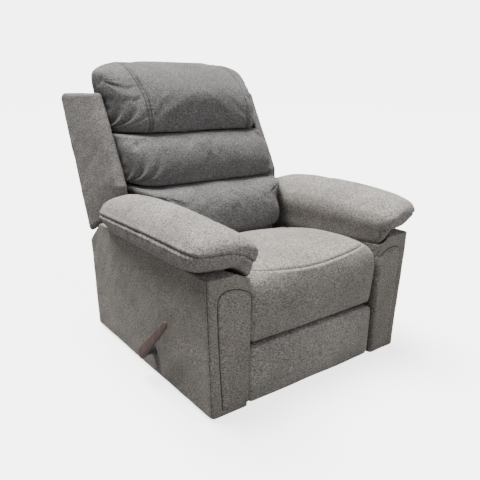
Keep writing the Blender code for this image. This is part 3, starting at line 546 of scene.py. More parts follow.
def arm_rest(side_name, side):
    """Sections along the arm: a crowned top, a boxed outer side, and an inner side that hangs lower."""
    low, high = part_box(f"arm_rest_{side_name}")
    nose, tail = low.y, high.y
    length = tail - nose
    t = np.concatenate([(1 - np.cos(np.linspace(0, math.pi / 2, 16))) * 0.10,
                        np.linspace(0.10, 0.93, 60)[1:],
                        0.93 + 0.07 * np.sin(np.linspace(0, math.pi / 2, 12))[1:]])
    # share of the length; crown; outer seam; lower edge outside; lower edge inside; trim outside, inside
    table = np.array([(0.00, 0.578, 0.537, 0.478, 0.450, 0.016, 0.006),
                      (0.06, 0.588, 0.535, 0.474, 0.436, 0.004, 0.0),
                      (0.14, 0.598, 0.533, 0.469, 0.424, 0.0, 0.0),
                      (0.28, 0.604, 0.533, 0.466, 0.414, 0.0, 0.0),
                      (0.48, 0.607, 0.531, 0.463, 0.402, 0.0, 0.0),
                      (0.70, 0.602, 0.526, 0.462, 0.388, 0.0, 0.0),
                      (0.88, 0.590, 0.521, 0.464, 0.378, 0.002, 0.0),
                      (0.96, 0.574, 0.517, 0.470, 0.374, 0.008, 0.0),
                      (1.00, 0.560, 0.515, 0.476, 0.378, 0.018, 0.002)])
    crown, seam, under, drape, trim_out, trim_in = (np.interp(t, table[:, 0],
                                                              table[:, k]) for k in range(1, 7))
    outer_side, inner_side, width = 0.486, 0.2845, 0.2015
    x_out, x_in = outer_side - trim_out, inner_side + trim_in
    w, rise = x_out - x_in, crown - seam
    rings = []
    for k in range(len(t)):
        a, b, c, r = x_out[k], x_in[k], w[k], rise[k]
        s, u, g = seam[k], under[k], drape[k]
        outline = curve([(a, s), (a - 0.002, s + 0.26 * r), (a - 0.06 * c, s + 0.60 * r),
                         (a - 0.20 * c, s + 0.88 * r), (a - 0.45 * c, s + r), (a - 0.72 * c, s + 0.90 * r),
                         (a - 0.91 * c, s + 0.52 * r), (b - 0.004, s - 0.014), (b, (s + g) / 2 - 0.012),
                         (b + 0.004, g + 0.008), (b + 0.014, g + 0.002), (b + 0.030, (g + u) / 2),
                         (b + 0.055, u - 0.001), (a - 0.45 * c, u), (a - 0.035, u), (a - 0.013, u + 0.010),
                         (a - 0.003, (s + u) / 2 + 0.003)])
        rings.append(even(outline, 110))
    rings = np.array(rings)
    grid = np.stack([rings[..., 0], np.broadcast_to((nose + length * t)[:, None], rings.shape[:2]),
                     rings[..., 1]], -1)
    # the ends are rounded; the nose is cut back towards its outer side and below its seam
    nose_end = (1 - (1 - np.clip(t / 0.062, 0, 1)) ** 2.4) ** (1 / 2.4)
    tail_end = (1 - (1 - np.clip((1 - t) / 0.050, 0, 1)) ** 2.2) ** (1 / 2.2)
    centre = np.stack([(x_out + x_in) / 2, nose + length * t, np.where(t < 0.5, 0.540,
                                                                       (crown + under) / 2)], -1)[:, None]
    size = np.stack([(0.80 + 0.20 * nose_end) * (0.90 + 0.10 * tail_end), np.ones_like(t),
                     (0.08 + 0.92 * nose_end) * (0.50 + 0.50 * tail_end)], -1)[:, None]
    grid = centre + (grid - centre) * size
    outward = np.clip((grid[..., 0] - inner_side) / width, 0, 1)
    fade = np.clip(1 - t / 0.30, 0, 1)[:, None] ** 1.2
    grid[..., 1] += (0.050 * outward ** 1.8 + 0.034 * np.clip((0.548 - grid[..., 2]) / 0.07, 0, 1)) * fade
    grid[..., 0] *= side
    piece = lofted(f"arm_rest_cover_{side_name}", grid, TOP_FABRIC, "base")

    def seam_height(y):
        return np.interp(y, nose + length * table[:, 0], table[:, 2])

    def held(co):
        beside = bell(co[:, 2] - seam_height(co[:, 1]), 0.008) * (np.abs(co[:, 0]) > 0.35)
        below = (co[:, 2] < 0.474) | (np.abs(co[:, 0]) < 0.292)
        return np.maximum(np.where(below, 1.0, 0.0), beside)

    fill(piece, held, 0.022, surplus=0.012)
    refine(piece)
    # the seam: from the tail along the outer side, round the nose, to the inner front corner
    y = np.linspace(tail - 0.010, nose + 0.085, 90)
    side_start = np.stack([np.full(90, side * 0.60), y, seam_height(y)], -1)
    side_line = trace(piece, side_start, (-side, 0, 0))
    x = np.linspace(0.462, 0.292, 60)
    front_z = np.interp(x, [0.287, 0.30, 0.34, 0.39, 0.44, 0.475],
                        [0.480, 0.498, 0.526, 0.540, 0.536, 0.532])
    front_line = trace(piece, np.stack([side * x, np.full(60, -0.70), front_z], -1), (0, 1, 0))
    line = even(curve(even(np.concatenate([side_line, front_line]), 60, closed=False), 500, closed=False),
                260, closed=False)
    sew(piece, [line], depth=0.0038, width=0.0042, pucker=0.0010, ridge=0.0020)
    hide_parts(f"arm_rest_{side_name}")
    return piece


for side_name, side in SIDES:
    arm_rest(side_name, side)

# ---------------------------------------------------------------- seat
# The seat cushion: one foam block with a fibre wrap whose cover runs over the front edge and
# down the front face. A single seam joins the top panel to the front panel.

SEAT_FABRIC = fabric("chenille_seat", (0.118, 0.109, 0.099), (0.032, 0.029, 0.026), (0.245, 0.229, 0.211),
                     both=0.0, line=0.0020)


def inward(outline, distance):
    """An outline moved in by a distance along its normals."""
    step = np.roll(outline, -1, 0) - np.roll(outline, 1, 0)
    step /= np.linalg.norm(step, axis=1)[:, None]
    area = (outline[:, 0] * np.roll(outline[:, 1], -1) - np.roll(outline[:, 0], -1) * outline[:, 1]).sum()
    normal = np.stack([step[:, 1], -step[:, 0]], -1) * np.sign(area)
    return outline - normal * distance


def slab_rings(outline, half, radius, count=60):
    """An outline in y and z carried along x, its ends rounded by a quarter circle."""
    turn = np.linspace(0, math.pi / 2, 8)
    end_x = half - radius * (1 - np.sin(turn))
    x = np.concatenate([-end_x[::-1], np.linspace(-end_x[0], end_x[0], count)[1:-1], end_x])
    by = radius * (1 - np.cos(turn))
    offset = np.concatenate([by[::-1], np.zeros(count - 2), by])
    return np.array([np.column_stack([np.full(len(outline), a), inward(outline, b)]) for a,
                     b in zip(x, offset)])


front_low, front_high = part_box("seat_front_pad")
_, cushion_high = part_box("seat_cushion")
face, tail = front_low.y, cushion_high.y
crest = cushion_high.z
outline = even(curve([(face + 0.004, front_low.z + 0.030), (face - 0.002, front_low.z + 0.10),
                      (face - 0.003, 0.365), (face + 0.006, 0.408), (face + 0.026, 0.432),
                      (face + 0.070, 0.445), (face + 0.16, crest + 0.004), (face + 0.28, crest - 0.006),
                      (face + 0.40, crest - 0.026), (tail - 0.025, crest - 0.044),
                      (tail - 0.003, crest - 0.060), (tail, 0.365), (tail - 0.010, 0.328),
                      (tail - 0.050, 0.318), (face + 0.25, 0.317), (face + 0.085, 0.317),
                      (face + 0.060, 0.305), (face + 0.050, 0.275), (face + 0.049, front_low.z + 0.030),
                      (face + 0.040, front_low.z + 0.004), (face + 0.014, front_low.z + 0.004)], 700), 240)
seat = lofted("seat_cover", slab_rings(outline, front_high.x, 0.020), SEAT_FABRIC, "seat")


def seat_held(co):
    """What holds the seat's cover: the frame below, the front's lower edge, the sides and the seam."""
    hidden = (co[:, 2] < 0.330) & (co[:, 1] > face + 0.035)
    edge = (co[:, 2] < front_low.z + 0.012) | (np.abs(co[:, 0]) > front_high.x - 0.003)
    seam_z = 0.446 - 0.026 * np.clip(1 - np.abs(co[:, 0]) / 0.26, 0, 1) ** 0.8
    beside = bell(co[:, 2] - seam_z, 0.010) * (co[:, 1] < face + 0.05)
    return np.maximum(np.where(hidden | edge, 1.0, 0.0), 0.9 * beside)


fill(seat, seat_held, 0.020, surplus=0.0)
refine(seat)
co, normal = coordinates(seat)
seat_front = smooth_step(face + 0.06 - co[:, 1], 0.0, 0.05)
reach = np.abs(co[:, 0]) / front_high.x
co += normal * (0.0028 * ripple(co, 0.26, 11) * (1 - 0.5 * seat_front))[:, None]
at_ends = 0.010 * smooth_step(reach, 0.80, 1.0) * smooth_step(co[:, 2], 0.38, 0.42)
in_middle = 0.008 * seat_front * (1 - reach ** 2) * smooth_step(co[:, 2], 0.34, 0.43)
co[:, 2] -= at_ends + in_middle
reshape(seat, co)
x = np.linspace(-0.281, 0.281, 170)
dip = 0.444 - 0.024 * (1 - np.abs(x / 0.281) ** 1.7)
seam_line = trace(seat, np.stack([x, np.full(170, -0.80), dip], -1), (0, 1, 0.0))
sew(seat, [seam_line], depth=0.0032, width=0.005, pucker=0.0005, ridge=0.0005)
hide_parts("seat_cushion", "seat_front_pad")

# ---------------------------------------------------------------- footrest
# The footrest's padded panel: foam on a plywood board, in chenille stapled behind the board.
# Closed, it hangs below the seat's front face with a narrow gap above it.

# painted light: the body's chenille made about a quarter lighter, to offset the shade under the seat's front
FOOT_FABRIC_PAINTED_LIGHT = fabric("chenille_footrest_painted_light", (0.142, 0.131, 0.120), (0.040, 0.037, 0.034),
                     (0.290, 0.271, 0.250))
foot_low, foot_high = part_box("footrest_pad")
turn = np.linspace(0, 2 * math.pi, 400, endpoint=False)
a, b = rounded_square(turn, 7.0)
outline = even(np.stack([(foot_low.y + foot_high.y) / 2 + a * (foot_high.y - foot_low.y) / 2,
                         (foot_low.z + foot_high.z) / 2 + b * (foot_high.z - foot_low.z) / 2], -1), 150)
footrest = lofted("footrest_cover", slab_rings(outline, foot_high.x, 0.014), FOOT_FABRIC_PAINTED_LIGHT, "footrest")


def footrest_held(co):
    """What holds the footrest's cover: the board behind it and its four edges."""
    edge = (np.abs(co[:, 0]) > foot_high.x - 0.004) | (co[:, 2] > foot_high.z - 0.004)
    behind_or_low = (co[:, 1] > foot_high.y - 0.012) | (co[:, 2] < foot_low.z + 0.004)
    return np.where(behind_or_low | edge, 1.0, 0.0)


fill(footrest, footrest_held, 0.010, surplus=0.004)
refine(footrest)
uneven(footrest, (0.0016, 0.20, 15))
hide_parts("footrest_pad")

# ---------------------------------------------------------------- back pillows
# Lumbar, middle and head pillows: loose fibre in chenille sleeves sewn to the back between them.
# The ends are gathered, and the head pillow has a double-stitched seam near each end.

PILLOW_FABRIC = fabric("chenille_pillow", (0.070, 0.067, 0.0665), (0.021, 0.0205, 0.020),
                       (0.150, 0.144, 0.142), both=0.0, offset=0.0030, line=0.0024)
RAKE = math.tan(math.radians(24.2))
_, wing_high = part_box("back_wing_left")


def rear_face(z):
    """The back's rear face at a height."""
    return wing_high.y - (wing_high.z - z) * RAKE


def pillow_rings(outline, half, end, sharp, flat, anchor, count=101):
    """An outline in y and z carried along x. Towards an end it draws back to anchor: its depth like a
    quarter ellipse over the last end metres, its height by the share flat over the whole width."""
    x = half * np.sin(np.linspace(-math.pi / 2, math.pi / 2, count))
    left = np.clip((half - np.abs(x)) / end, 0, 1)
    deep = (1 - (1 - left) ** sharp) ** (1 / sharp)
    tall = (1 - (1 - flat) * np.clip(np.abs(x) / half, 0, 1) ** 6)
    shape = outline[None] - np.array(anchor)
    shape = shape * np.stack([0.03 + 0.97 * deep, tall], -1)[:, None] + np.array(anchor)
    return np.concatenate([np.broadcast_to(x[:, None, None], shape.shape[:2] + (1,)), shape], -1)


def fan(co, centre, low, high, reach, folds, deep, phase=0.0):
    """Folds that spread from a point seen from in front, between two bearings in degrees."""
    dx, dz = co[:, 0] - centre[0], co[:, 2] - centre[1]
    far = np.hypot(dx, dz)
    bearing = np.degrees(np.arctan2(dz, dx)) % 360
    share = (bearing - low) / (high - low)
    inside = smooth_step(share, 0.0, 0.12) * (1 - smooth_step(share, 0.88, 1.0))
    fade = np.clip(far / 0.03, 0, 1) * bell(far, reach)
    wave = np.sin(2 * math.pi * folds * share + phase + 1.4 * np.sin(far * 23.0 + phase))
    return -deep * (0.5 + 0.5 * wave) ** 1.5 * inside * fade


def stuffed_pillow(name, rings, held, seed):
    """A pillow filled by the simulation, with slow unevenness added."""
    piece = lofted(name, rings, PILLOW_FABRIC, "back")
    fill(piece, held, 0.020, surplus=0.016)
    refine(piece)
    uneven(piece, (0.0022, 0.16, seed))
    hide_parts(name.replace("_cover", "_pillow"))
    return piece


def sleeve(low, high, thick, behind, bulge_low, bulge_high):
    """A pillow's outline between two seams: the front is full in the middle and turns in to each seam."""
    tall = high - low
    front = [(0.0, bulge_low), (0.10, bulge_low * 0.42), (0.26, bulge_low * 0.08), (0.48, -0.002),
             (0.70, 0.000), (0.86, bulge_high * 0.22), (0.96, bulge_high * 0.62), (1.0, bulge_high)]
    points = [(rear_face(low + share * tall) - thick + back, low + share * tall) for share, back in front]
    points += [(rear_face(high) - thick / 2, high + 0.001), (rear_face(high - 0.01) - behind, high - 0.004),
               (rear_face(low + 0.5 * tall) - behind, low + 0.5 * tall),
               (rear_face(low + 0.01) - behind, low + 0.004), (rear_face(low) - thick / 2, low + 0.001)]
    return curve(points, 500)


# the two seams between the pillows, and how far their rear lies inside the back's rear face
low_seam, high_seam = (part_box(f"{name}_pillow")[0].z - 0.002 for name in ("middle", "head"))
behind = 0.074

tail_y = cushion_high.y + 0.004
lumbar_points = [(tail_y + 0.012, 0.345), (tail_y, 0.375), (tail_y - 0.008, 0.405),
                 (rear_face(0.45) - 0.372, 0.436), (rear_face(0.49) - 0.392, 0.480),
                 (rear_face(0.53) - 0.390, 0.525), (rear_face(0.565) - 0.376, 0.560),
                 (rear_face(0.588) - 0.354, 0.584), (rear_face(0.597) - 0.312, 0.594),
                 (rear_face(0.596) - 0.18, 0.596), (rear_face(0.585) - behind, 0.588),
                 (rear_face(0.47) - behind, 0.47), (rear_face(0.36) - behind, 0.352),
                 (rear_face(0.345) - 0.12, 0.341)]


def sleeve_held(low, high):
    """What holds a pillow: its two seams, and the back's frame behind it."""

    def held(co):
        near_seam = np.maximum(bell(co[:, 2] - low, 0.006), bell(co[:, 2] - high, 0.006))
        hidden = smooth_step(co[:, 1] - (rear_face(co[:, 2]) - 0.20), 0.0, 0.03)
        return np.maximum(near_seam, hidden)
    return held


# between the arm rests the lumbar pillow is narrower than above them
rings = pillow_rings(even(curve(lumbar_points, 500), 150), 0.268, 0.062, 2.6, 0.97,
                     (rear_face(0.47) - 0.10, 0.47))
rings[..., 0] *= 1 + 0.218 * smooth_step(rings[..., 2], 0.515, 0.580)
lumbar = stuffed_pillow("lumbar_cover", rings, sleeve_held(0.345, low_seam - 0.004), 21)
co, normal = coordinates(lumbar)
push = fan(co, (0.272, 0.575), 195, 275, 0.09, 2.0, 0.004)
push += fan(co, (-0.272, 0.575), 265, 345, 0.09, 2.0, 0.004, 1.0)
reshape(lumbar, co + normal * push[:, None])

middle_outline = sleeve(low_seam + 0.002, high_seam - 0.002, 0.340, behind, 0.040, 0.050)
rings = pillow_rings(even(middle_outline, 150), 0.335, 0.100, 2.3, 0.97, (rear_face(0.69) - 0.13, 0.69))
middle = stuffed_pillow("middle_cover", rings, sleeve_held(low_seam, high_seam), 22)
co, normal = coordinates(middle)
front_part = smooth_step(rear_face(co[:, 2]) - 0.16 - co[:, 1], 0.0, 0.04)
push = fan(co, (-0.328, 0.603), 15, 95, 0.12, 3.0, 0.010, 0.6)
push += fan(co, (0.328, 0.603), 85, 165, 0.09, 2.5, 0.006, 1.7)
push += fan(co, (0.315, 0.775), 195, 265, 0.09, 2.0, 0.003)
reshape(middle, co + normal * (push * front_part)[:, None])

low = high_seam + 0.003
head_points = [(rear_face(low) - 0.262, low), (rear_face(low + 0.012) - 0.296, low + 0.010),
               (rear_face(0.825) - 0.318, 0.822), (rear_face(0.87) - 0.326, 0.872),
               (rear_face(0.92) - 0.318, 0.922), (rear_face(0.955) - 0.298, 0.962),
               (rear_face(0.985) - 0.272, 0.998), (rear_face(1.005) - 0.236, 1.026),
               (rear_face(1.01) - 0.185, 1.043), (0.455, 1.046), (0.502, 1.030), (0.530, 0.995),
               (0.536, 0.955), (0.520, 0.926), (rear_face(0.905) - behind, 0.900),
               (rear_face(0.85) - behind, 0.85), (rear_face(0.80) - behind, 0.80),
               (rear_face(low) - 0.13, low + 0.001)]


def head_held(co):
    """What holds the head pillow: its lower seam, the frame behind it and its two sewn seams."""
    base = bell(co[:, 2] - high_seam, 0.007)
    frame_face = rear_face(np.minimum(co[:, 2], 0.92)) - 0.15
    hidden = smooth_step(co[:, 1] - frame_face, 0.0, 0.03) * (co[:, 2] < 0.93)
    seams = 0.8 * bell(np.abs(co[:, 0]) - 0.240, 0.006) * (co[:, 2] > 0.80)
    return np.maximum(np.maximum(base, hidden), seams)


head_half = 0.350
rings = pillow_rings(even(curve(head_points, 700), 190), head_half, 0.135, 2.2, 0.84,
                     (rear_face(0.86) - 0.10, high_seam), count=121)
# below the wings' top the pillow is held in between them
outward = np.clip(np.abs(rings[..., 0]) / head_half, 0, 1) ** 2
squeeze = 1 - 0.045 * (1 - smooth_step(rings[..., 2], 0.86, 0.95)) * outward
rings[..., 0] = rings[..., 0] * squeeze - 0.007 * smooth_step(rings[..., 2], 0.90, 1.0)
head = lofted("head_cover", rings, PILLOW_FABRIC, "back")
fill(head, head_held, 0.020, surplus=0.016)
refine(head)
co, normal = coordinates(head)
front_part = smooth_step(0.50 - co[:, 1], 0.0, 0.05)
push = 0.0024 * ripple(co, 0.17, 23)
push += front_part * (fan(co, (-0.335, 0.792), 25, 110, 0.105, 3.2, 0.011,
                          0.4) + fan(co, (0.335, 0.792), 70, 155, 0.08, 2.5, 0.005, 1.9))
push += front_part * (fan(co, (-0.345, 0.975), 285, 400, 0.060, 2.5, 0.007,
                          2.2) + fan(co, (0.335, 0.965), 140, 250, 0.05, 2.0, 0.004, 0.5))
co[:, 2] = np.minimum(co[:, 2] + normal[:, 2] * push, 1.0475)
co[:, :2] += normal[:, :2] * push[:, None]
reshape(head, co)
rise = np.linspace(0.788, 1.030, 90)
seams = []
for side, inner in ((-1, 0.0), (-1, 0.012), (1, 0.0), (1, 0.012)):
    starts = np.stack([side * (0.236 - inner + 0.016 * smooth_step(rise, 0.90, 1.05)), np.full(90, -0.40),
                       rise], -1)
    front_line = trace(head, starts, (0, 1, 0), 1.2)
    back = np.linspace(0.36, 0.50, 40)
    top_line = trace(head, np.stack([np.full(40, side * (0.249 - inner)), back, np.full(40, 1.30)], -1),
                     (0, 0, -1))
    joined = np.concatenate([front_line[front_line[:, 1] < 0.35], top_line])
    seams.append(even(curve(even(joined, 50, closed=False), 400, closed=False), 200, closed=False))
sew(head, seams, depth=0.0042, width=0.0038, pucker=0.0003, ridge=0.0012)
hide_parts("head_pillow")

# ---------------------------------------------------------------- back wings and covers
# A padded wing on each side of the back, wide at the rear, and the flat chenille covers behind.
# They are stapled to the frame; the wing's rear edge is sewn to the rear cover.

WING_FABRIC = fabric("chenille_wing", (0.094, 0.088, 0.084), (0.027, 0.025, 0.024), (0.195, 0.184, 0.176),
                     both=0.0)


def back_wing(side_name, side):
    """Rounded sections from the front edge to the rear cover, carried up the back to rounded ends."""
    low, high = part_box(f"back_wing_{side_name}")
    low_front, low_rear, top = 0.505, low.z, high.z
    high_x = max(abs(low.x), abs(high.x))
    turn = np.linspace(0, 2 * math.pi, 500, endpoint=False)
    a, b = rounded_square(turn, 4.5)
    ring = even(np.stack([0.5 + 0.5 * a, 0.1 * (0.5 + 0.5 * b)], -1), 84)
    deep, thick_share = ring[:, 0], ring[:, 1] * 10
    tips = np.sin(np.linspace(0, math.pi / 2, 9))
    share = np.concatenate([0.030 * (1 - np.cos(np.linspace(0, math.pi / 2, 9))),
                            np.linspace(0.030, 0.970, 64)[1:-1],
                            1 - 0.030 * (1 - np.cos(np.linspace(math.pi / 2, 0, 9)))])
    full = np.concatenate([tips, np.ones(62), tips[::-1]])
    d = 0.5 + (deep[None] - 0.5) * (0.96 + 0.04 * full[:, None])
    k = 0.5 + (thick_share[None] - 0.5) * (0.45 + 0.55 * full[:, None])
    z = low_front + (low_rear - low_front) * d
    z = z + (top + 0.006 * (1 - d) - 0.016 * smooth_step(d, 0.80, 1.02) ** 2 - z) * share[:, None]
    cover = rear_face(z)
    bend = low_front + 0.095
    base = rear_face(low_front) - 0.184
    crest = rear_face(top) - 0.182
    front = base + np.maximum(0, z - bend) * (crest - base) / (top - bend)
    y = front + (cover - front) * d
    out = high_x - 0.065 * (1 - d)
    thick = 0.050 - 0.020 * d
    x = side * (out - thick * k)
    piece = lofted(f"wing_cover_{side_name}", np.stack([x, y, z], -1), WING_FABRIC, "back")
    uneven(piece, (0.0016, 0.22, 31), (0.0008, 0.06, 32))
    rise = np.linspace(low_rear + 0.03, top - 0.02, 120)
    edge = np.stack([np.full(120, side * (high_x - 0.0005)), rear_face(rise) - 0.010, rise], -1)
    sew(piece, [edge], depth=0.0022, width=0.004, pucker=0.0003)
    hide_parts(f"back_wing_{side_name}")
    return piece


for side_name, side in SIDES:
    back_wing(side_name, side)

# a dark cambric lining closes the back between the wings, behind the pillows
LINING = fabric("lining", (0.018, 0.017, 0.016), (0.008, 0.008, 0.008), (0.035, 0.034, 0.033))
x = np.linspace(-0.355, 0.355, 72)
# between the arms' tops it is narrower, to pass them when the back reclines
low_edge = 0.425 + 0.145 * smooth_step(np.abs(x), 0.268, 0.284)
z = np.stack([low_edge, np.full(72, 0.905), np.full(72, 0.905), low_edge], -1)
y = rear_face(z) - np.array([0.0735, 0.0735, 0.0715, 0.0715])
rings = np.stack([np.broadcast_to(x[:, None], (72, 4)), y, z], -1)
lofted("back_lining", rings, LINING, "back").data.polygons.foreach_set("use_smooth", np.zeros(71 * 4 + 2, bool))

for name in ("back_cover", "back_lower_cover", "rear_panel"):
    low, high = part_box(name)
    lean = RAKE if name != "rear_panel" else 0.0
    thick = (high.y - low.y) - (high.z - low.z) * lean
    a, b = rounded_square(np.linspace(0, 2 * math.pi, 900, endpoint=False), 14.0)
    z = (low.z + high.z) / 2 + b * (high.z - low.z) / 2
    y = high.y - thick / 2 + a * thick / 2 - (high.z - z) * lean
    rings = slab_rings(even(np.stack([y, z], -1), 240), high.x, 0.005, 46)
    body = "base" if name == "rear_panel" else "back"
    panel = lofted(f"{name}_fabric", rings, WING_FABRIC, body)
    uneven(panel, (0.0010, 0.25, 41))
    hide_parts(name)

# ---------------------------------------------------------------- lever
# The side lever: a tapered hardwood bar, stained red-brown and varnished, on a black steel
# shaft that turns in a plastic bush in the arm's side.


def wood_group():
    """Wood along the object's own length: rings stretched along the grain, with fine darker pores."""
    takes = {"Vector": None, "Early": (0.3, 0.2, 0.1, 1), "Late": (0.1, 0.05, 0.02, 1), "Scale": 1.0}
    tree, given, out = group("Wood grain", takes, ("Color", "Height", "Roughness"))
    where = node(tree, "ShaderNodeVectorMath", {0: given["Vector"], 3: given["Scale"]},
                 operation="SCALE").outputs[0]
    bands = node(tree, "ShaderNodeTexWave", {"Vector": where, "Scale": 22.0, "Distortion": 5.0,
                                             "Detail": 3.0, "Detail Scale": 1.5}, wave_type="BANDS",
                 bands_direction="X").outputs["Fac"]
    pores = noise(tree, where, 160.0, 4.0, 0.7)
    grain = math_node(tree, "MULTIPLY_ADD", bands, 0.55, math_node(tree, "MULTIPLY", pores, 0.6),
                      clamp=True)
    shade = mix_colour(tree, grain, given["Early"], given["Late"])
    tree.links.new(shade, out.inputs["Color"])
    tree.links.new(grain, out.inputs["Height"])
    rough = math_node(tree, "MULTIPLY_ADD", grain, 0.18, 0.30)
    tree.links.new(rough, out.inputs["Roughness"])
    return tree


WOOD = wood_group()


def wood(name, early, late, scale, stretch, turn=0.0, rough=0.0, coat=0.0):
    """Wood whose grain runs along the direction that stretch makes longest."""
    made, tree, shader, where = started(name)
    placed = {"Vector": where, "Rotation": (turn, 0, 0), "Scale": stretch}
    along = node(tree, "ShaderNodeMapping", placed).outputs[0]
    grain = patterned(tree, WOOD, along, Early=early, Late=late, Scale=scale)
    roughness = math_node(tree, "ADD", grain["Roughness"], rough)
    surface(tree, shader, grain["Color"], roughness, grain["Height"], 0.2, 0.0006)
    shader.inputs["Coat Weight"].default_value = coat
    shader.inputs["Coat Roughness"].default_value = 0.22
    return made


LEVER_LEAN = math.radians(44.0)
LEVER_WOOD = wood("lever_wood", (0.066, 0.026, 0.016), (0.022, 0.009, 0.006), 2.2, (1, 1, 0.12),
                  turn=-LEVER_LEAN, rough=0.12, coat=0.08)
lever_low, lever_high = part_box("lever_handle")
lever_joint = next(j for j in frame["record"]["behaviour"]["joints"] if j["name"] == "lever_turn")
_, pivot_y, pivot_z = lever_joint["pos_m"]
middle_x = (lever_low.x + lever_high.x) / 2
table = np.array([(-0.021, 0.010, 0.0040), (-0.018, 0.0145, 0.0056), (-0.010, 0.0195, 0.0068),
                  (0.010, 0.0212, 0.0070), (0.080, 0.0182, 0.0065), (0.160, 0.0148, 0.0059),
                  (0.222, 0.0122, 0.0054), (0.236, 0.0108, 0.0048), (0.243, 0.0078, 0.0036),
                  (0.246, 0.0050, 0.0024)])
along = np.concatenate([np.linspace(-0.021, 0.012, 22), np.linspace(0.012, 0.22, 30)[1:],
                        np.linspace(0.22, 0.246, 16)[1:]])
half, thick = np.interp(along, table[:, 0], table[:, 1]), np.interp(along, table[:, 0], table[:, 2])
a, b = rounded_square(np.linspace(0, 2 * math.pi, 400, endpoint=False), 3.2)
ring = even(np.stack([a * 0.007, b * 0.02], -1), 40) / np.array([0.007, 0.02])
x = middle_x + ring[None, :, 0] * thick[:, None]
across = ring[None, :, 1] * half[:, None]
y = pivot_y - math.sin(LEVER_LEAN) * along[:, None] + math.cos(LEVER_LEAN) * across
z = pivot_z + math.cos(LEVER_LEAN) * along[:, None] + math.sin(LEVER_LEAN) * across
lever = lofted("lever_grip", np.stack([x, y, z], -1), LEVER_WOOD, "lever")
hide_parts("lever_handle")

# ---------------------------------------------------------------- frame and mechanism
# What the covers hide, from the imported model: pine rails and plywood panels, sinuous springs,
# black-painted steel links and brackets, plastic glides and the lever's bush.


def wear_group():
    """Slow patches and fine scuffs for paint, plastic and wire."""
    takes = {"Vector": None, "Base": (0.1, 0.1, 0.1, 1), "Rub": (0.2, 0.2, 0.2, 1), "Rough": 0.4}
    tree, given, out = group("Wear", takes, ("Color", "Height", "Roughness"))
    where = given["Vector"]
    patch = noise(tree, where, 28.0, 5.0, 0.65)
    fine = noise(tree, where, 420.0, 2.0, 0.5)
    rub = ranged(tree, patch, 0.56, 0.72, smooth=False)
    tree.links.new(mix_colour(tree, math_node(tree, "MULTIPLY", rub, 0.6), given["Base"], given["Rub"]),
                   out.inputs["Color"])
    tree.links.new(math_node(tree, "MULTIPLY_ADD", patch, 0.22,
                             math_node(tree, "SUBTRACT", given["Rough"], 0.11)), out.inputs["Roughness"])
    tree.links.new(fine, out.inputs["Height"])
    return tree


WEAR = wear_group()


def hard(name, base, rub, rough, metallic=0.0, relief=0.15):
    """Paint, plastic or wire with light wear."""
    made, tree, shader, where = started(name)
    worn = patterned(tree, WEAR, where, Base=base, Rub=rub, Rough=rough)
    surface(tree, shader, worn["Color"], worn["Roughness"], worn["Height"], relief, 0.0004)
    shader.inputs["Metallic"].default_value = metallic
    return made


FINISHES = {
    "frame_wood": wood("frame_wood", (0.56, 0.42, 0.26), (0.36, 0.24, 0.13), 1.0, (1, 0.1, 0.6), rough=0.3),
    "steel": hard("black_paint", (0.030, 0.030, 0.031), (0.075, 0.072, 0.070), 0.42),
    "spring_steel": hard("spring_wire", (0.42, 0.42, 0.43), (0.30, 0.27, 0.24), 0.36, metallic=1.0),
    "black_plastic": hard("black_plastic", (0.022, 0.022, 0.023), (0.045, 0.045, 0.045), 0.55, relief=0.3),
    "lever_wood": LEVER_WOOD,
    "chenille_body": BODY_FABRIC,
    "chenille_back": PILLOW_FABRIC,
}
for part in frame["record"]["subparts"]:
    kept = frame["nodes"][part["node"]]
    kept.data.materials.clear()
    kept.data.materials.append(FINISHES[part["material_slot"]])

# ---------------------------------------------------------------- floor, light and camera
# A pale seamless floor, one large soft light overhead and a little behind, a weak one in front,
# and an even surround.

sheet = bpy.data.meshes.new("floor")
sheet.from_pydata([(-14, -14, -0.0005), (14, -14, -0.0005), (14, 14, -0.0005), (-14, 14, -0.0005)], [],
                  [(0, 1, 2, 3)])
pale = bpy.data.materials.new("pale_floor")
pale.use_nodes = True
plain = pale.node_tree
coat = plain.nodes["Principled BSDF"]
seen = node(plain, "ShaderNodeLightPath").outputs["Is Camera Ray"]
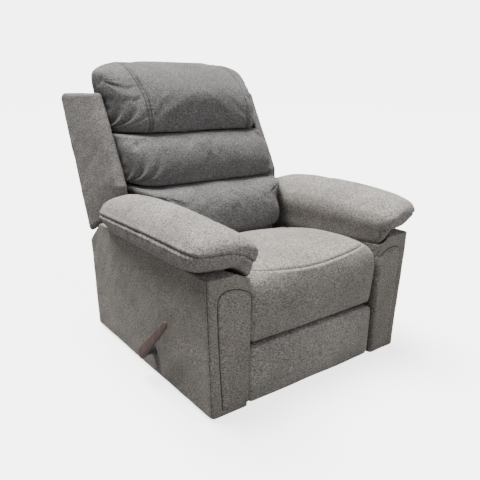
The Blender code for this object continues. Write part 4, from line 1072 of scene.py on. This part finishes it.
# bright to the camera, and darker to the chair, so that little light comes up from below
plain.links.new(mix_colour(plain, seen, (0.14, 0.14, 0.14, 1), (0.46, 0.46, 0.46, 1)),
                coat.inputs["Base Color"])
plain.links.new(math_node(plain, "MULTIPLY", seen, 2.9), coat.inputs["Emission Strength"])
coat.inputs["Emission Color"].default_value = (1.0, 1.0, 1.0, 1)
coat.inputs["Roughness"].default_value = 0.8
coat.inputs["Specular IOR Level"].default_value = 0.1
sheet.materials.append(pale)
floor = bpy.data.objects.new("floor", sheet)
bpy.context.scene.collection.objects.link(floor)
floor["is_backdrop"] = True


def soft_light(name, strength, spread, colour, toward):
    """A distant lamp, spread over an angle in degrees, that shines from a direction."""
    light = bpy.data.lights.new(name, "SUN")
    light.energy, light.angle, light.color = strength, math.radians(spread), colour
    lamp = bpy.data.objects.new(name, light)
    lamp.rotation_euler = Vector(toward).to_track_quat("Z", "Y").to_euler()
    bpy.context.scene.collection.objects.link(lamp)


soft_light("overhead", 19.0, 34, (1.0, 0.988, 0.965), (-0.10, 0.30, 1.0))
soft_light("front_fill", 2.9, 70, (0.97, 0.985, 1.0), (0.15, -1.0, 0.22))
world = bpy.data.worlds.new("surround")
world.use_nodes = True
surround = world.node_tree
seen = node(surround, "ShaderNodeLightPath").outputs["Is Camera Ray"]
surround.links.new(math_node(surround, "MULTIPLY_ADD", seen, 5.2, 0.40),
                   surround.nodes["Background"].inputs["Strength"])
surround.nodes["Background"].inputs["Color"].default_value = (1.0, 1.0, 1.0, 1)
bpy.context.scene.world = world

pitch, roll, heading = 0.299494, 0.02, 0.653738
ahead = Vector((math.sin(heading), math.cos(heading), 0))
right = Vector((math.cos(heading), -math.sin(heading), 0))
up = Vector((0, 0, 1))
look = ahead * math.cos(pitch) - up * math.sin(pitch)
upright = ahead * math.sin(pitch) + up * math.cos(pitch)
camera_right = right * math.cos(roll) + upright * math.sin(roll)
camera_up = upright * math.cos(roll) - right * math.sin(roll)
lens = bpy.data.cameras.new("camera")
lens.lens, lens.sensor_width = 40.441, 36.0
camera = bpy.data.objects.new("camera", lens)
turned = Matrix((camera_right, camera_up, -look)).transposed().to_4x4()
turned.translation = (-1.2092, -1.6398, 1.0073)
camera.matrix_world = turned
bpy.context.scene.collection.objects.link(camera)
bpy.context.scene.camera = camera

# the overall box of the shown pieces, the floor left out, after the covers
low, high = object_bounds()
